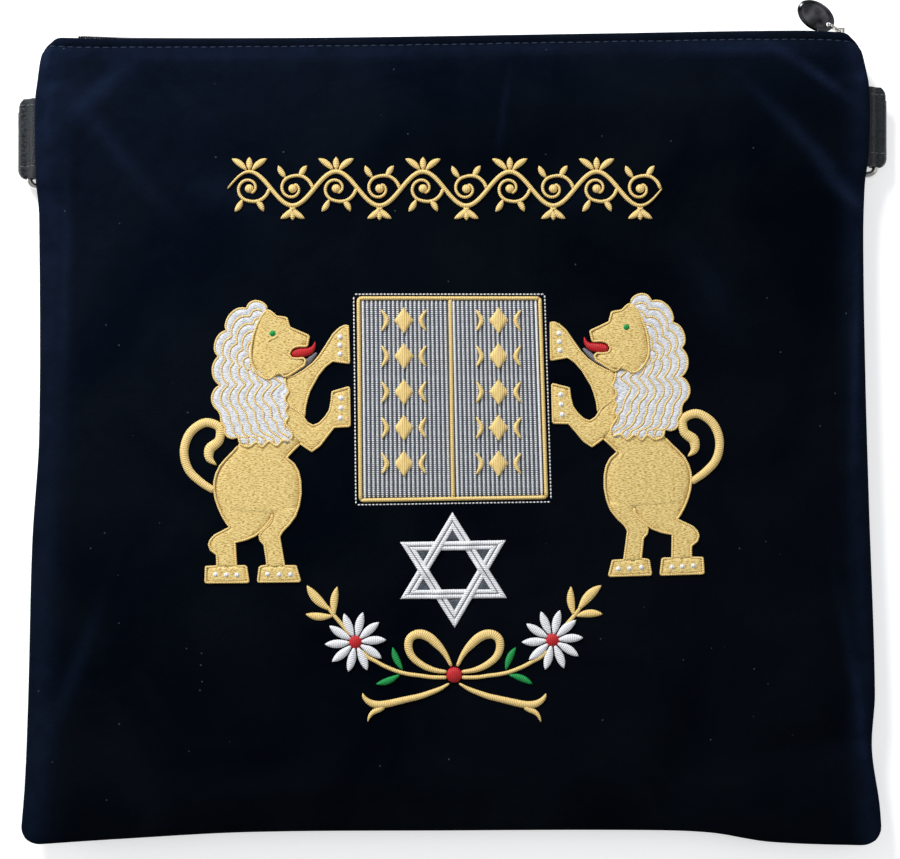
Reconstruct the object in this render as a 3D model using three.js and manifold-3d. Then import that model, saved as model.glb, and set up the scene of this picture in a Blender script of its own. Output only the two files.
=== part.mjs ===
// A flat velvet bag with a zip along its top edge, lying on its back, in millimetres.
// X runs to the right, Y towards the zip and Z up from the surface that the back rests on.
import * as THREE from 'three';
import { mergeVertices } from 'three/addons/utils/BufferGeometryUtils.js';
import Module from 'manifold-3d';

// Driving dimensions: the bag
const bagWidth = 379.2;
const bagHeight = 357.6;
const cornerRadius = 9;
const seamHeight = 11;
const crownHeight = 11.5;
const velvetWall = 2;
const seamGap = 0.3;
const fitGap = 0.3;
const restInset = 55;
const frontMesh = 17;
const backMesh = 45;
const midInset = 36;

// Driving dimensions: the zip
const coilPitch = 2.1;
const coilHalfWidth = 2.75;
const coilDepth = 2.3;
const coilRib = 0.5;
const coilProudLeft = 0.6;
const coilProudRight = -1.2;
const tapeWall = 0.8;
const tapeReach = 12;
const tapeBesideCoil = 1.2;
const tapeClearance = 0.65;
const zipInset = 12;
const stopLength = 3;
const tapeOpening = 1.7;

// Driving dimensions: the slider and its pull
const sliderFromSide = 12;
const sliderLength = 12.4;
const sliderPlate = 1.1;
const sliderHalfWidth = 3.95;
const sliderInnerHalfWidth = 2.2;
const sliderTail = 0.42;
const postStart = 0.42;
const postEnd = 0.9;
const postWidth = 0.9;
const railStart = 0.9;
const railEnd = 0.1;
const railWidth = 0.88;
const bridgeHalfWidth = 0.9;
const bridgeRoof = 0.9;
const bailRadius = 0.55;
const bailJoin = 0.02;
const bailLength = 6.2;
const bailAngle = 30;
const tagLength = 18;
const tagWidth = 12;
const tagThickness = 1.3;
const tagHoleRadius = 0.9;
const tagHoleEdge = 1.5;
const tagAngle = 31;

// Driving dimensions: the side tabs and rings
const tabWidth = 35;
const tabReach = 8.7;
const tabRoot = 6;
const leather = 1.3;
const leftTabDrop = 46.3;
const rightTabDrop = 41.2;
const tabEase = 8;
const tabSpring = 0.35;
const wireRadius = 1.4;
const ringWidth = 35.3;
const ringReach = 22.6;
const ringBend = 3;
const ringShow = 3;
const barOut = 3.7;

// Edges as seen from the front. Along and out are shares of half the height or width:
// along runs left to right or bottom to top, and out is how far the edge lies from the middle.
const topEdge = [
  { along: -1, out: 0.985 },
  { along: -0.84, out: 0.98 },
  { along: -0.29, out: 0.983 },
  { along: 0.36, out: 0.993 },
  { along: 0.85, out: 1 },
  { along: 1, out: 0.994 },
];
const bottomEdge = [
  { along: -1, out: 0.999 },
  { along: -0.77, out: 0.983 },
  { along: -0.47, out: 0.966 },
  { along: 0, out: 0.962 },
  { along: 0.44, out: 0.961 },
  { along: 0.6, out: 0.967 },
  { along: 0.74, out: 0.99 },
  { along: 1, out: 1 },
];
const leftEdge = [
  { along: -1, out: 1 },
  { along: -0.84, out: 0.988 },
  { along: -0.62, out: 0.98 },
  { along: -0.25, out: 0.971 },
  { along: 0.02, out: 0.955 },
  { along: 0.56, out: 0.955 },
  { along: 0.64, out: 0.961 },
  { along: 0.83, out: 0.963 },
  { along: 0.92, out: 0.956 },
  { along: 1, out: 0.942 },
];
const rightEdge = [
  { along: -1, out: 1 },
  { along: -0.9, out: 0.994 },
  { along: -0.76, out: 0.976 },
  { along: -0.62, out: 0.983 },
  { along: -0.15, out: 0.969 },
  { along: 0.15, out: 0.961 },
  { along: 0.5, out: 0.956 },
  { along: 0.64, out: 0.96 },
  { along: 0.72, out: 0.968 },
  { along: 0.88, out: 0.967 },
  { along: 1, out: 0.944 },
];

// The slider's plates, as shares of half their length and width
const plateEdge = [
  { along: -1, out: 0.74 },
  { along: -0.86, out: 0.88 },
  { along: 0.1, out: 0.92 },
  { along: 0.75, out: 1 },
  { along: 1, out: 0.62 },
];

// Soft folds of the front: middle as shares of half the width and height, length and
// width as shares of the whole width, turn in degrees, and height as a share of the crown.
const frontFolds = [
  { x: 0.86, y: 0.83, length: 0.16, width: 0.02, turn: -38, height: 0.16 },
  { x: 0.82, y: 0.6, length: 0.2, width: 0.035, turn: -48, height: -0.14 },
  { x: 0.01, y: 0.82, length: 0.14, width: 0.016, turn: 90, height: -0.1 },
  { x: -0.86, y: 0.86, length: 0.14, width: 0.03, turn: 35, height: 0.12 },
  { x: -0.83, y: 0.42, length: 0.17, width: 0.03, turn: 84, height: 0.12 },
  { x: -0.78, y: -0.36, length: 0.12, width: 0.02, turn: 60, height: -0.1 },
  { x: 0.92, y: -0.74, length: 0.13, width: 0.022, turn: 12, height: -0.2 },
  { x: 0.52, y: -0.9, length: 0.17, width: 0.028, turn: 72, height: -0.16 },
  { x: -0.3, y: -0.88, length: 0.2, width: 0.03, turn: 6, height: 0.1 },
  { x: -0.9, y: -0.86, length: 0.13, width: 0.026, turn: -40, height: 0.12 },
];

// How full the panel is between its seams, and how wide the easings are
const fillPower = 4.5;
const fillEase = 0.72;
const restEase = 1.5;
const rimThickness = 0.4;
const zipEase = 0.03;
const zipFade = 0.14;
const tabFade = 0.12;

// Values worked out from the dimensions above
const halfWidth = bagWidth / 2;
const halfHeight = bagHeight / 2;
const zipHalfOpening = coilHalfWidth + tapeBesideCoil + tapeClearance;
const tabHalfOpening = leather + seamGap / 2 + fitGap;
const tabs = [
  { name: 'left', side: -1, middle: halfHeight - leftTabDrop },
  { name: 'right', side: 1, middle: halfHeight - rightTabDrop },
];
const degrees = Math.PI / 180;

const wasm = await Module();
wasm.setup();

const bag = new THREE.Group();
const velvetFinish = new THREE.MeshStandardMaterial({ color: 0x0b1122, roughness: 0.95, metalness: 0 });
const tapeFinish = new THREE.MeshStandardMaterial({ color: 0x11182a, roughness: 0.9, metalness: 0 });
const coilFinish = new THREE.MeshStandardMaterial({ color: 0x141c30, roughness: 0.45, metalness: 0 });
const leatherFinish = new THREE.MeshStandardMaterial({ color: 0x1a1d22, roughness: 0.55, metalness: 0 });
const nickelFinish = new THREE.MeshStandardMaterial({ color: 0xc9c7c2, roughness: 0.2, metalness: 1 });
const pullFinish = new THREE.MeshStandardMaterial({ color: 0x4c4d52, roughness: 0.3, metalness: 1 });

function addPiece(name, geometry, finish, parent = bag) {
  const piece = new THREE.Mesh(geometry, finish);
  piece.name = name;
  parent.add(piece);
  return piece;
}

// A smooth 0 to 1 step between two values, in either order
function ease(from, to, value) {
  const share = THREE.MathUtils.clamp((value - from) / (to - from), 0, 1);
  return share * share * (3 - 2 * share);
}

// Reads a table at any place with a cubic through its rows
function follow(table, along) {
  const place = THREE.MathUtils.clamp(along, -1, 1);
  let row = 0;
  while (row < table.length - 2 && place > table[row + 1].along) row += 1;
  const slope = (index) => {
    const before = table[Math.max(index - 1, 0)];
    const after = table[Math.min(index + 1, table.length - 1)];
    return (after.out - before.out) / (after.along - before.along);
  };
  const start = table[row];
  const end = table[row + 1];
  const span = end.along - start.along;
  const t = (place - start.along) / span;
  const rise = start.out * (1 + 2 * t) * (1 - t) ** 2 + end.out * t * t * (3 - 2 * t);
  return rise + span * t * (1 - t) * (slope(row) * (1 - t) - slope(row + 1) * t);
}

// Turns a place on the square from -1 to 1 into one inside the bag's outline.
// The last stretch before each corner is mapped from a square onto a quarter disc.
function outlinePoint(across, up) {
  const cut = cornerRadius / Math.min(halfWidth, halfHeight);
  const p = (Math.abs(across) - 1 + cut) / cut;
  const q = (Math.abs(up) - 1 + cut) / cut;
  let roundAcross = across;
  let roundUp = up;
  if (p > 0 && q > 0) {
    roundAcross = Math.sign(across) * (1 - cut + cut * p * Math.sqrt(1 - q * q / 2));
    roundUp = Math.sign(up) * (1 - cut + cut * q * Math.sqrt(1 - p * p / 2));
  }
  const left = -halfWidth * follow(leftEdge, roundUp);
  const right = halfWidth * follow(rightEdge, roundUp);
  const bottom = -halfHeight * follow(bottomEdge, roundAcross);
  const top = halfHeight * follow(topEdge, roundAcross);
  return new THREE.Vector2(
    THREE.MathUtils.lerp(left, right, (roundAcross + 1) / 2),
    THREE.MathUtils.lerp(bottom, top, (roundUp + 1) / 2),
  );
}

// The place across the square of a given x along the top edge
function acrossTop(x) {
  const left = -halfWidth * follow(leftEdge, 1);
  const right = halfWidth * follow(rightEdge, 1);
  return (2 * (x - left)) / (right - left) - 1;
}

// The height on a side edge of a share from bottom to top, and the share of a height
function sideY(side, up) {
  const bottom = -halfHeight * follow(bottomEdge, side);
  const top = halfHeight * follow(topEdge, side);
  return THREE.MathUtils.lerp(bottom, top, (up + 1) / 2);
}

function sideUp(side, y) {
  return (2 * (y - sideY(side, -1))) / (sideY(side, 1) - sideY(side, -1)) - 1;
}

// Half the space that the zip and the leather tabs keep open between the two panels
function halfGap(across, up) {
  const zip = ease(1, 1 - zipEase, Math.abs(across)) * ease(1 - zipFade, 1, up);
  let widest = seamGap / 2 + (zipHalfOpening - seamGap / 2) * zip;
  for (const tab of tabs) {
    const fromMiddle = Math.abs(sideY(tab.side, up) - tab.middle);
    const beside = ease(tabWidth / 2 + fitGap + tabEase, tabWidth / 2 + fitGap, fromMiddle);
    const inward = ease(1 - tabFade, 1 - tabFade / 3, across * tab.side);
    widest = Math.max(widest, seamGap / 2 + (tabHalfOpening - seamGap / 2) * beside * inward);
  }
  return widest;
}

// 0 at a seam and 1 in the middle, steep at the seam and nearly flat inside
function fill(share) {
  return (1 - Math.min(Math.abs(share), 1) ** fillPower) ** fillEase;
}

// The wall's edge is rounded: its outer face starts lower at the rim
function rimShare(across, up) {
  const inset = Math.min((1 - Math.abs(across)) * halfWidth, (1 - Math.abs(up)) * halfHeight);
  const share = Math.min(inset / velvetWall, 1);
  return rimThickness + (1 - rimThickness) * Math.sqrt(1 - (1 - share) ** 2);
}

function foldHeight(across, up) {
  let height = 0;
  for (const fold of frontFolds) {
    const dx = (across - fold.x) * halfWidth;
    const dy = (up - fold.y) * halfHeight;
    const turn = fold.turn * degrees;
    const along = (dx * Math.cos(turn) + dy * Math.sin(turn)) / (fold.length * bagWidth);
    const beside = (dy * Math.cos(turn) - dx * Math.sin(turn)) / (fold.width * bagWidth);
    height += fold.height * crownHeight * Math.exp(-along * along - beside * beside);
  }
  return height * Math.min(1, 2 * fill(across) * fill(up));
}

// Outer face of the front panel: the seam, half the gap, the wall, the crown and the folds
function frontHeight(across, up) {
  const crown = crownHeight * fill(across) * fill(up);
  return seamHeight + halfGap(across, up) + velvetWall + crown + foldHeight(across, up);
}

// Outer face of the back panel: flat on the surface, rising to the seams
function backHeight(across, up) {
  const climb = (share, half) => {
    const flat = 1 - restInset / half;
    return Math.max(0, (Math.abs(share) - flat) / (1 - flat)) ** restEase;
  };
  const rise = 1 - (1 - climb(across, halfWidth)) * (1 - climb(up, halfHeight));
  return (seamHeight - velvetWall - halfGap(across, up)) * rise;
}

// Places between the marks, no further apart than the spacing, as shares of the half size
function stations(marks, spacing, half) {
  const sorted = [...new Set(marks)].sort((a, b) => a - b);
  const places = [sorted[0]];
  for (let index = 1; index < sorted.length; index += 1) {
    const from = sorted[index - 1];
    const parts = Math.max(1, Math.round(((sorted[index] - from) * half) / spacing));
    for (let part = 1; part <= parts; part += 1) {
      places.push(from + ((sorted[index] - from) * part) / parts);
    }
  }
  return places;
}

function panelStations(spacing) {
  const marks = (half) => {
    const insets = [
      0, velvetWall / 2, velvetWall * 2, cornerRadius, tapeReach, midInset, restInset,
    ];
    return insets.flatMap((inset) => [-1 + inset / half, 1 - inset / half]);
  };
  const tabMarks = tabs.flatMap((tab) => [-1, 1].map(
    (end) => sideUp(tab.side, tab.middle + end * (tabWidth / 2 + fitGap)),
  ));
  return {
    across: stations([...marks(halfWidth), 0], spacing, halfWidth),
    up: stations([...marks(halfHeight), ...tabMarks, 0], spacing, halfHeight),
  };
}

// A panel is a closed wall: an outer grid, an inner grid one wall away and a rim round both
function panelGeometry(outerHeight, towardsInside, spacing) {
  const { across, up } = panelStations(spacing);
  const columns = across.length;
  const rows = up.length;
  const places = [];
  for (const layer of [0, 1]) {
    for (const v of up) {
      for (const u of across) {
        const point = outlinePoint(u, v);
        const inner = outerHeight(u, v) + towardsInside * velvetWall;
        const outer = inner - towardsInside * velvetWall * rimShare(u, v);
        places.push(point.x, point.y, layer === 0 ? outer : inner);
      }
    }
  }
  const corner = (layer, row, column) => (layer * rows + row) * columns + column;
  const faces = [];
  const addQuad = (a, b, c, d, flip) => {
    if (flip) faces.push(a, c, b, a, d, c);
    else faces.push(a, b, c, a, c, d);
  };
  const outerUp = towardsInside < 0;
  for (let row = 0; row < rows - 1; row += 1) {
    for (let column = 0; column < columns - 1; column += 1) {
      for (const layer of [0, 1]) {
        addQuad(
          corner(layer, row, column), corner(layer, row, column + 1),
          corner(layer, row + 1, column + 1), corner(layer, row + 1, column),
          (layer === 0) !== outerUp,
        );
      }
    }
  }
  for (let column = 0; column < columns - 1; column += 1) {
    for (const row of [0, rows - 1]) {
      addQuad(
        corner(0, row, column), corner(0, row, column + 1),
        corner(1, row, column + 1), corner(1, row, column),
        (row === 0) === outerUp,
      );
    }
  }
  for (let row = 0; row < rows - 1; row += 1) {
    for (const column of [0, columns - 1]) {
      addQuad(
        corner(0, row, column), corner(0, row + 1, column),
        corner(1, row + 1, column), corner(1, row, column),
        (column === 0) !== outerUp,
      );
    }
  }
  const geometry = new THREE.BufferGeometry();
  geometry.setAttribute('position', new THREE.Float32BufferAttribute(places, 3));
  geometry.setIndex(faces);
  return geometry;
}

// A row of equal closed sections, joined into one solid with a lid at each end
function sweptGeometry(sections) {
  const count = sections[0].length;
  const places = sections.flat().flatMap((point) => [point.x, point.y, point.z]);
  const faces = [];
  for (let step = 0; step < sections.length - 1; step += 1) {
    for (let index = 0; index < count; index += 1) {
      const next = (index + 1) % count;
      const a = step * count + index;
      const b = step * count + next;
      faces.push(a, b, b + count, a, b + count, a + count);
    }
  }
  const first = sections[0].map((point) => new THREE.Vector2(point.y, point.z));
  const last = (sections.length - 1) * count;
  for (const [a, b, c] of THREE.ShapeUtils.triangulateShape(first, [])) {
    faces.push(c, b, a, last + a, last + b, last + c);
  }
  const geometry = new THREE.BufferGeometry();
  geometry.setAttribute('position', new THREE.Float32BufferAttribute(places, 3));
  geometry.setIndex(faces);
  return geometry;
}

function solidOf(geometry) {
  const bare = geometry.clone();
  bare.deleteAttribute('normal');
  bare.deleteAttribute('uv');
  const merged = mergeVertices(bare, 1e-4);
  return new wasm.Manifold(new wasm.Mesh({
    numProp: 3,
    vertProperties: new Float32Array(merged.attributes.position.array),
    triVerts: new Uint32Array(merged.index.array),
  }));
}

function geometryOf(solid) {
  const mesh = solid.getMesh();
  const geometry = new THREE.BufferGeometry();
  geometry.setAttribute('position', new THREE.BufferAttribute(mesh.vertProperties, 3));
  geometry.setIndex(new THREE.BufferAttribute(mesh.triVerts, 1));
  return geometry;
}

// A box between two corners
function boxBetween(low, high) {
  const box = new THREE.BoxGeometry(high[0] - low[0], high[1] - low[1], high[2] - low[2]);
  return box.translate((low[0] + high[0]) / 2, (low[1] + high[1]) / 2, (low[2] + high[2]) / 2);
}

// The zip's places along the top edge
const topLeftX = outlinePoint(-1 + cornerRadius / halfWidth, 1).x;
const topRightX = outlinePoint(1 - cornerRadius / halfWidth, 1).x;
const sliderX = halfWidth * follow(rightEdge, 1) - sliderFromSide;
const coilStartX = topLeftX + zipInset - cornerRadius + stopLength;
const coilEndX = sliderX - sliderLength * 0.1;

// Height of the closed chain's outer face: proud of the velvet on the left, sunk on the right
function chainY(x) {
  const along = THREE.MathUtils.clamp((x - topLeftX) / (topRightX - topLeftX), 0, 1);
  const edge = halfHeight * follow(topEdge, acrossTop(x));
  return edge + THREE.MathUtils.lerp(coilProudLeft, coilProudRight, along);
}

// Half a zip chain: a bar along the top edge with one rib for each turn of the coil.
// Each side face is a strip of triangles between the ribbed line and the plain one behind it.
function coilGeometry(shift) {
  const ribbed = [];
  const ribs = Math.floor((coilEndX - coilStartX) / coilPitch - shift);
  for (let rib = 0; rib < ribs; rib += 1) {
    const x = coilStartX + (rib + shift) * coilPitch;
    ribbed.push(new THREE.Vector2(x, chainY(x) - coilRib));
    ribbed.push(new THREE.Vector2(x + coilPitch / 2, chainY(x + coilPitch / 2)));
  }
  const startX = ribbed[0].x;
  const endX = ribbed[ribbed.length - 1].x;
  const steps = Math.ceil((endX - startX) / frontMesh);
  const plain = [];
  for (let step = 0; step <= steps; step += 1) {
    const x = THREE.MathUtils.lerp(startX, endX, step / steps);
    plain.push(new THREE.Vector2(x, chainY(x) - coilDepth));
  }
  const outline = [...plain, ...ribbed.slice().reverse()];
  const count = outline.length;
  const places = [0, coilHalfWidth].flatMap((z) => outline.flatMap((point) => [point.x, point.y, z]));
  const faces = [];
  for (let index = 0; index < count; index += 1) {
    const next = (index + 1) % count;
    faces.push(index, next, next + count, index, next + count, index + count);
  }
  let back = 0;
  let front = 0;
  while (back < plain.length - 1 || front < ribbed.length - 1) {
    const stepFront = back === plain.length - 1
      || (front < ribbed.length - 1 && ribbed[front + 1].x < plain[back + 1].x);
    const a = back;
    const b = count - 1 - front;
    const c = stepFront ? b - 1 : a + 1;
    faces.push(a, b, c, count + a, count + c, count + b);
    if (stepFront) front += 1;
    else back += 1;
  }
  const geometry = new THREE.BufferGeometry();
  geometry.setAttribute('position', new THREE.Float32BufferAttribute(places, 3));
  geometry.setIndex(faces);
  return geometry;
}

// A zip tape stands behind the coil, turns at the velvet's edge and lies under the velvet.
// Its free side opens round the slider's post.
function tapeGeometry(facing) {
  const start = topLeftX + zipInset - cornerRadius;
  const end = sliderX + sliderLength * sliderTail;
  const steps = Math.ceil((end - start) / frontMesh);
  const postX = sliderX + sliderLength * 0.3;
  const sections = [];
  const panelInside = (across, up) => (
    facing > 0 ? frontHeight(across, up) - velvetWall : backHeight(across, up) + velvetWall
  );
  const xs = [];
  for (let step = 0; step <= steps; step += 1) {
    xs.push(THREE.MathUtils.lerp(start, end, step / steps));
  }
  xs.push(postX - sliderLength * 0.3, postX - sliderLength * 0.15, postX);
  xs.sort((a, b) => a - b);
  for (const x of xs) {
    const across = acrossTop(x);
    const behind = chainY(x) - coilDepth - fitGap;
    const spread = ease(postX - sliderLength * 0.3, postX - sliderLength * 0.15, x);
    const open = seamGap / 2 + tapeOpening * spread;
    const edge = halfHeight * follow(topEdge, across);
    const under = (reach) => {
      const up = 1 - reach / halfHeight;
      return panelInside(across, up) - facing * tapeClearance;
    };
    const first = velvetWall * 2;
    const rim = seamHeight + facing * (halfGap(across, 1) - tapeClearance);
    const points = [
      [behind, seamHeight + facing * open],
      [behind, rim],
      [edge - first, under(first)],
      [edge - tapeReach, under(tapeReach)],
      [edge - tapeReach, under(tapeReach) - facing * tapeWall],
      [edge - first - tapeWall, under(first) - facing * tapeWall],
      [behind - tapeWall, rim - facing * tapeWall],
      [behind - tapeWall, seamHeight + facing * open],
    ];
    const section = points.map(([y, z]) => new THREE.Vector3(x, y, z));
    sections.push(facing > 0 ? section : section.reverse());
  }
  return sweptGeometry(sections);
}

// The metal clamp that holds both coils at the closed end of the zip
function stopGeometry() {
  const x = coilStartX - fitGap - stopLength;
  const y = chainY(x);
  return boxBetween(
    [x, y - coilDepth, seamHeight - coilHalfWidth],
    [x + stopLength, y, seamHeight + coilHalfWidth],
  );
}

// An outline in x and z, as a plate between two heights
function plateBetween(outline, low, high) {
  const shape = new THREE.Shape(outline.map(([x, z]) => new THREE.Vector2(x, -z)));
  const plate = new THREE.ExtrudeGeometry(shape, { depth: high - low, bevelEnabled: false });
  return plate.rotateX(-Math.PI / 2).translate(0, low, 0);
}

// The slider in its own frame: the chain's outer face is y = 0 and x runs along the zip
const plateFoot = fitGap;
const plateTop = plateFoot + sliderPlate;
const pivotY = plateTop + fitGap + bailRadius;
const pivotX = sliderLength / 2 - bailRadius - fitGap - bridgeRoof - fitGap;
const innerPlateTop = -coilDepth - fitGap - tapeWall - fitGap;

function sliderGeometry() {
  const half = sliderLength / 2;
  const railInside = coilHalfWidth + seamGap / 2 + fitGap;
  const plateOutline = (width) => [
    ...plateEdge.map((row) => [half * row.along, -width * row.out]),
    ...plateEdge.map((row) => [half * row.along, width * row.out]).reverse(),
  ];
  const outer = plateBetween(plateOutline(sliderHalfWidth), plateFoot, plateTop);
  const inner = plateBetween(
    plateOutline(sliderInnerHalfWidth), innerPlateTop - sliderPlate, innerPlateTop,
  );
  const postHalf = (coilHalfWidth * postWidth) / 2;
  const post = boxBetween(
    [half * postStart, innerPlateTop - sliderPlate / 2, -postHalf],
    [half * postEnd, plateFoot + sliderPlate / 2, postHalf],
  );
  const roof = plateTop + 2 * (fitGap + bailRadius);
  const legIn = bailRadius + fitGap;
  const bridge = [
    boxBetween(
      [pivotX - legIn - bridgeRoof, roof, -bridgeHalfWidth],
      [pivotX + legIn + bridgeRoof, roof + bridgeRoof, bridgeHalfWidth],
    ),
    boxBetween(
      [pivotX - legIn - bridgeRoof, plateTop - sliderPlate / 2, -bridgeHalfWidth],
      [pivotX - legIn, roof + bridgeRoof / 2, bridgeHalfWidth],
    ),
    boxBetween(
      [pivotX + legIn, plateTop - sliderPlate / 2, -bridgeHalfWidth],
      [pivotX + legIn + bridgeRoof, roof + bridgeRoof / 2, bridgeHalfWidth],
    ),
  ];
  const rails = [-1, 1].map((hand) => boxBetween(
    [-half * railStart, plateFoot - sliderPlate, hand > 0 ? railInside : -sliderHalfWidth * railWidth],
    [-half * railEnd, plateFoot + sliderPlate / 2, hand > 0 ? sliderHalfWidth * railWidth : -railInside],
  ));
  const whole = [inner, post, ...bridge, ...rails].reduce(
    (solid, geometry) => solid.add(solidOf(geometry)), solidOf(outer),
  );
  return geometryOf(whole);
}

// The bail: a flat wire loop with one bar under the bridge and one through the tag
class BailPath extends THREE.Curve {
  getPoint(t, target = new THREE.Vector3()) {
    const halfSpan = Math.max(bridgeHalfWidth, tagThickness / 2) + fitGap + bailRadius;
    const bend = halfSpan * 0.6;
    const straight = bailLength - 2 * bend;
    const bar = 2 * (halfSpan - bend) - bailJoin;
    const arc = (Math.PI / 2) * bend;
    const lengths = [bar / 2, arc, straight, arc, bar + bailJoin, arc, straight, arc, bar / 2];
    let left = t * lengths.reduce((sum, length) => sum + length, 0);
    let stretch = 0;
    while (stretch < lengths.length - 1 && left > lengths[stretch]) {
      left -= lengths[stretch];
      stretch += 1;
    }
    const turn = left / bend;
    const inner = halfSpan - bend;
    const places = [
      [0, bailJoin / 2 + left],
      [bend - bend * Math.cos(turn), inner + bend * Math.sin(turn)],
      [bend + left, halfSpan],
      [bailLength - bend + bend * Math.sin(turn), inner + bend * Math.cos(turn)],
      [bailLength, inner - left],
      [bailLength - bend + bend * Math.cos(turn), -inner - bend * Math.sin(turn)],
      [bailLength - bend - left, -halfSpan],
      [bend - bend * Math.sin(turn), -inner - bend * Math.cos(turn)],
      [0, -inner + left],
    ];
    const [reach, aside] = places[stretch];
    return target.set(-reach, 0, aside);
  }
}

function wireSection(radius, sides) {
  const points = [];
  for (let side = 0; side < sides; side += 1) {
    const turn = (side / sides) * 2 * Math.PI;
    points.push(new THREE.Vector2(radius * Math.cos(turn), radius * Math.sin(turn)));
  }
  return new THREE.Shape(points);
}

// The oval tag: its hole is at the origin and its long axis runs to -x
function tagGeometry() {
  const outline = new THREE.Shape();
  const middle = -(tagLength / 2 - tagHoleEdge - tagHoleRadius);
  outline.absellipse(middle, 0, tagLength / 2, tagWidth / 2, 0, 2 * Math.PI, false, 0);
  const hole = new THREE.Path();
  hole.absellipse(0, 0, tagHoleRadius, tagHoleRadius, 0, 2 * Math.PI, true, 0);
  outline.holes.push(hole);
  const plate = new THREE.ExtrudeGeometry(outline, {
    depth: tagThickness, bevelEnabled: false, curveSegments: 14,
  });
  return plate.translate(0, 0, -tagThickness / 2);
}

// The wire D in its own plane: its bar lies on y and its bow reaches along x.
// The wire's two ends meet in the middle of the bar.
class RingPath extends THREE.Curve {
  constructor(side) {
    super();
    this.side = side;
  }

  getPoint(t, target = new THREE.Vector3()) {
    const half = ringWidth / 2;
    const bow = (Math.PI / 2) * half;
    const leg = ringReach - half - ringBend;
    const bend = (Math.PI / 2) * ringBend;
    const bar = half - ringBend - seamGap / 2;
    const total = bow + leg + bend + bar;
    let left = Math.abs(2 * t - 1) * total;
    const hand = t < 0.5 ? 1 : -1;
    let reach;
    let along;
    if (left < bow) {
      reach = ringReach - half + half * Math.cos(left / half);
      along = half * Math.sin(left / half);
    } else if (left < bow + leg) {
      reach = ringReach - half - (left - bow);
      along = half;
    } else if (left < bow + leg + bend) {
      left -= bow + leg;
      reach = ringBend * (1 - Math.sin(left / ringBend));
      along = half - ringBend * (1 - Math.cos(left / ringBend));
    } else {
      left -= bow + leg + bend;
      reach = 0;
      along = half - ringBend - left;
    }
    return target.set(-this.side * reach, hand * along, 0);
  }
}

// The bar's height, so that the ring clears the velvet's edge and its bow rests on the surface
const rimUnderTab = seamHeight - tabHalfOpening - velvetWall;
const wireUnderRim = rimUnderTab - fitGap - wireRadius;
const barHeight = (wireUnderRim * ringReach - barOut * wireRadius) / (ringReach - barOut);
const ringTilt = Math.asin((barHeight - wireRadius) / ringReach);

function tabEdgeX(tab) {
  const places = [-1, -0.5, 0, 0.5, 1].map((end) => {
    const up = sideUp(tab.side, tab.middle + (end * tabWidth) / 2);
    return Math.abs(outlinePoint(tab.side, up).x);
  });
  return Math.max(...places);
}

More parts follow.
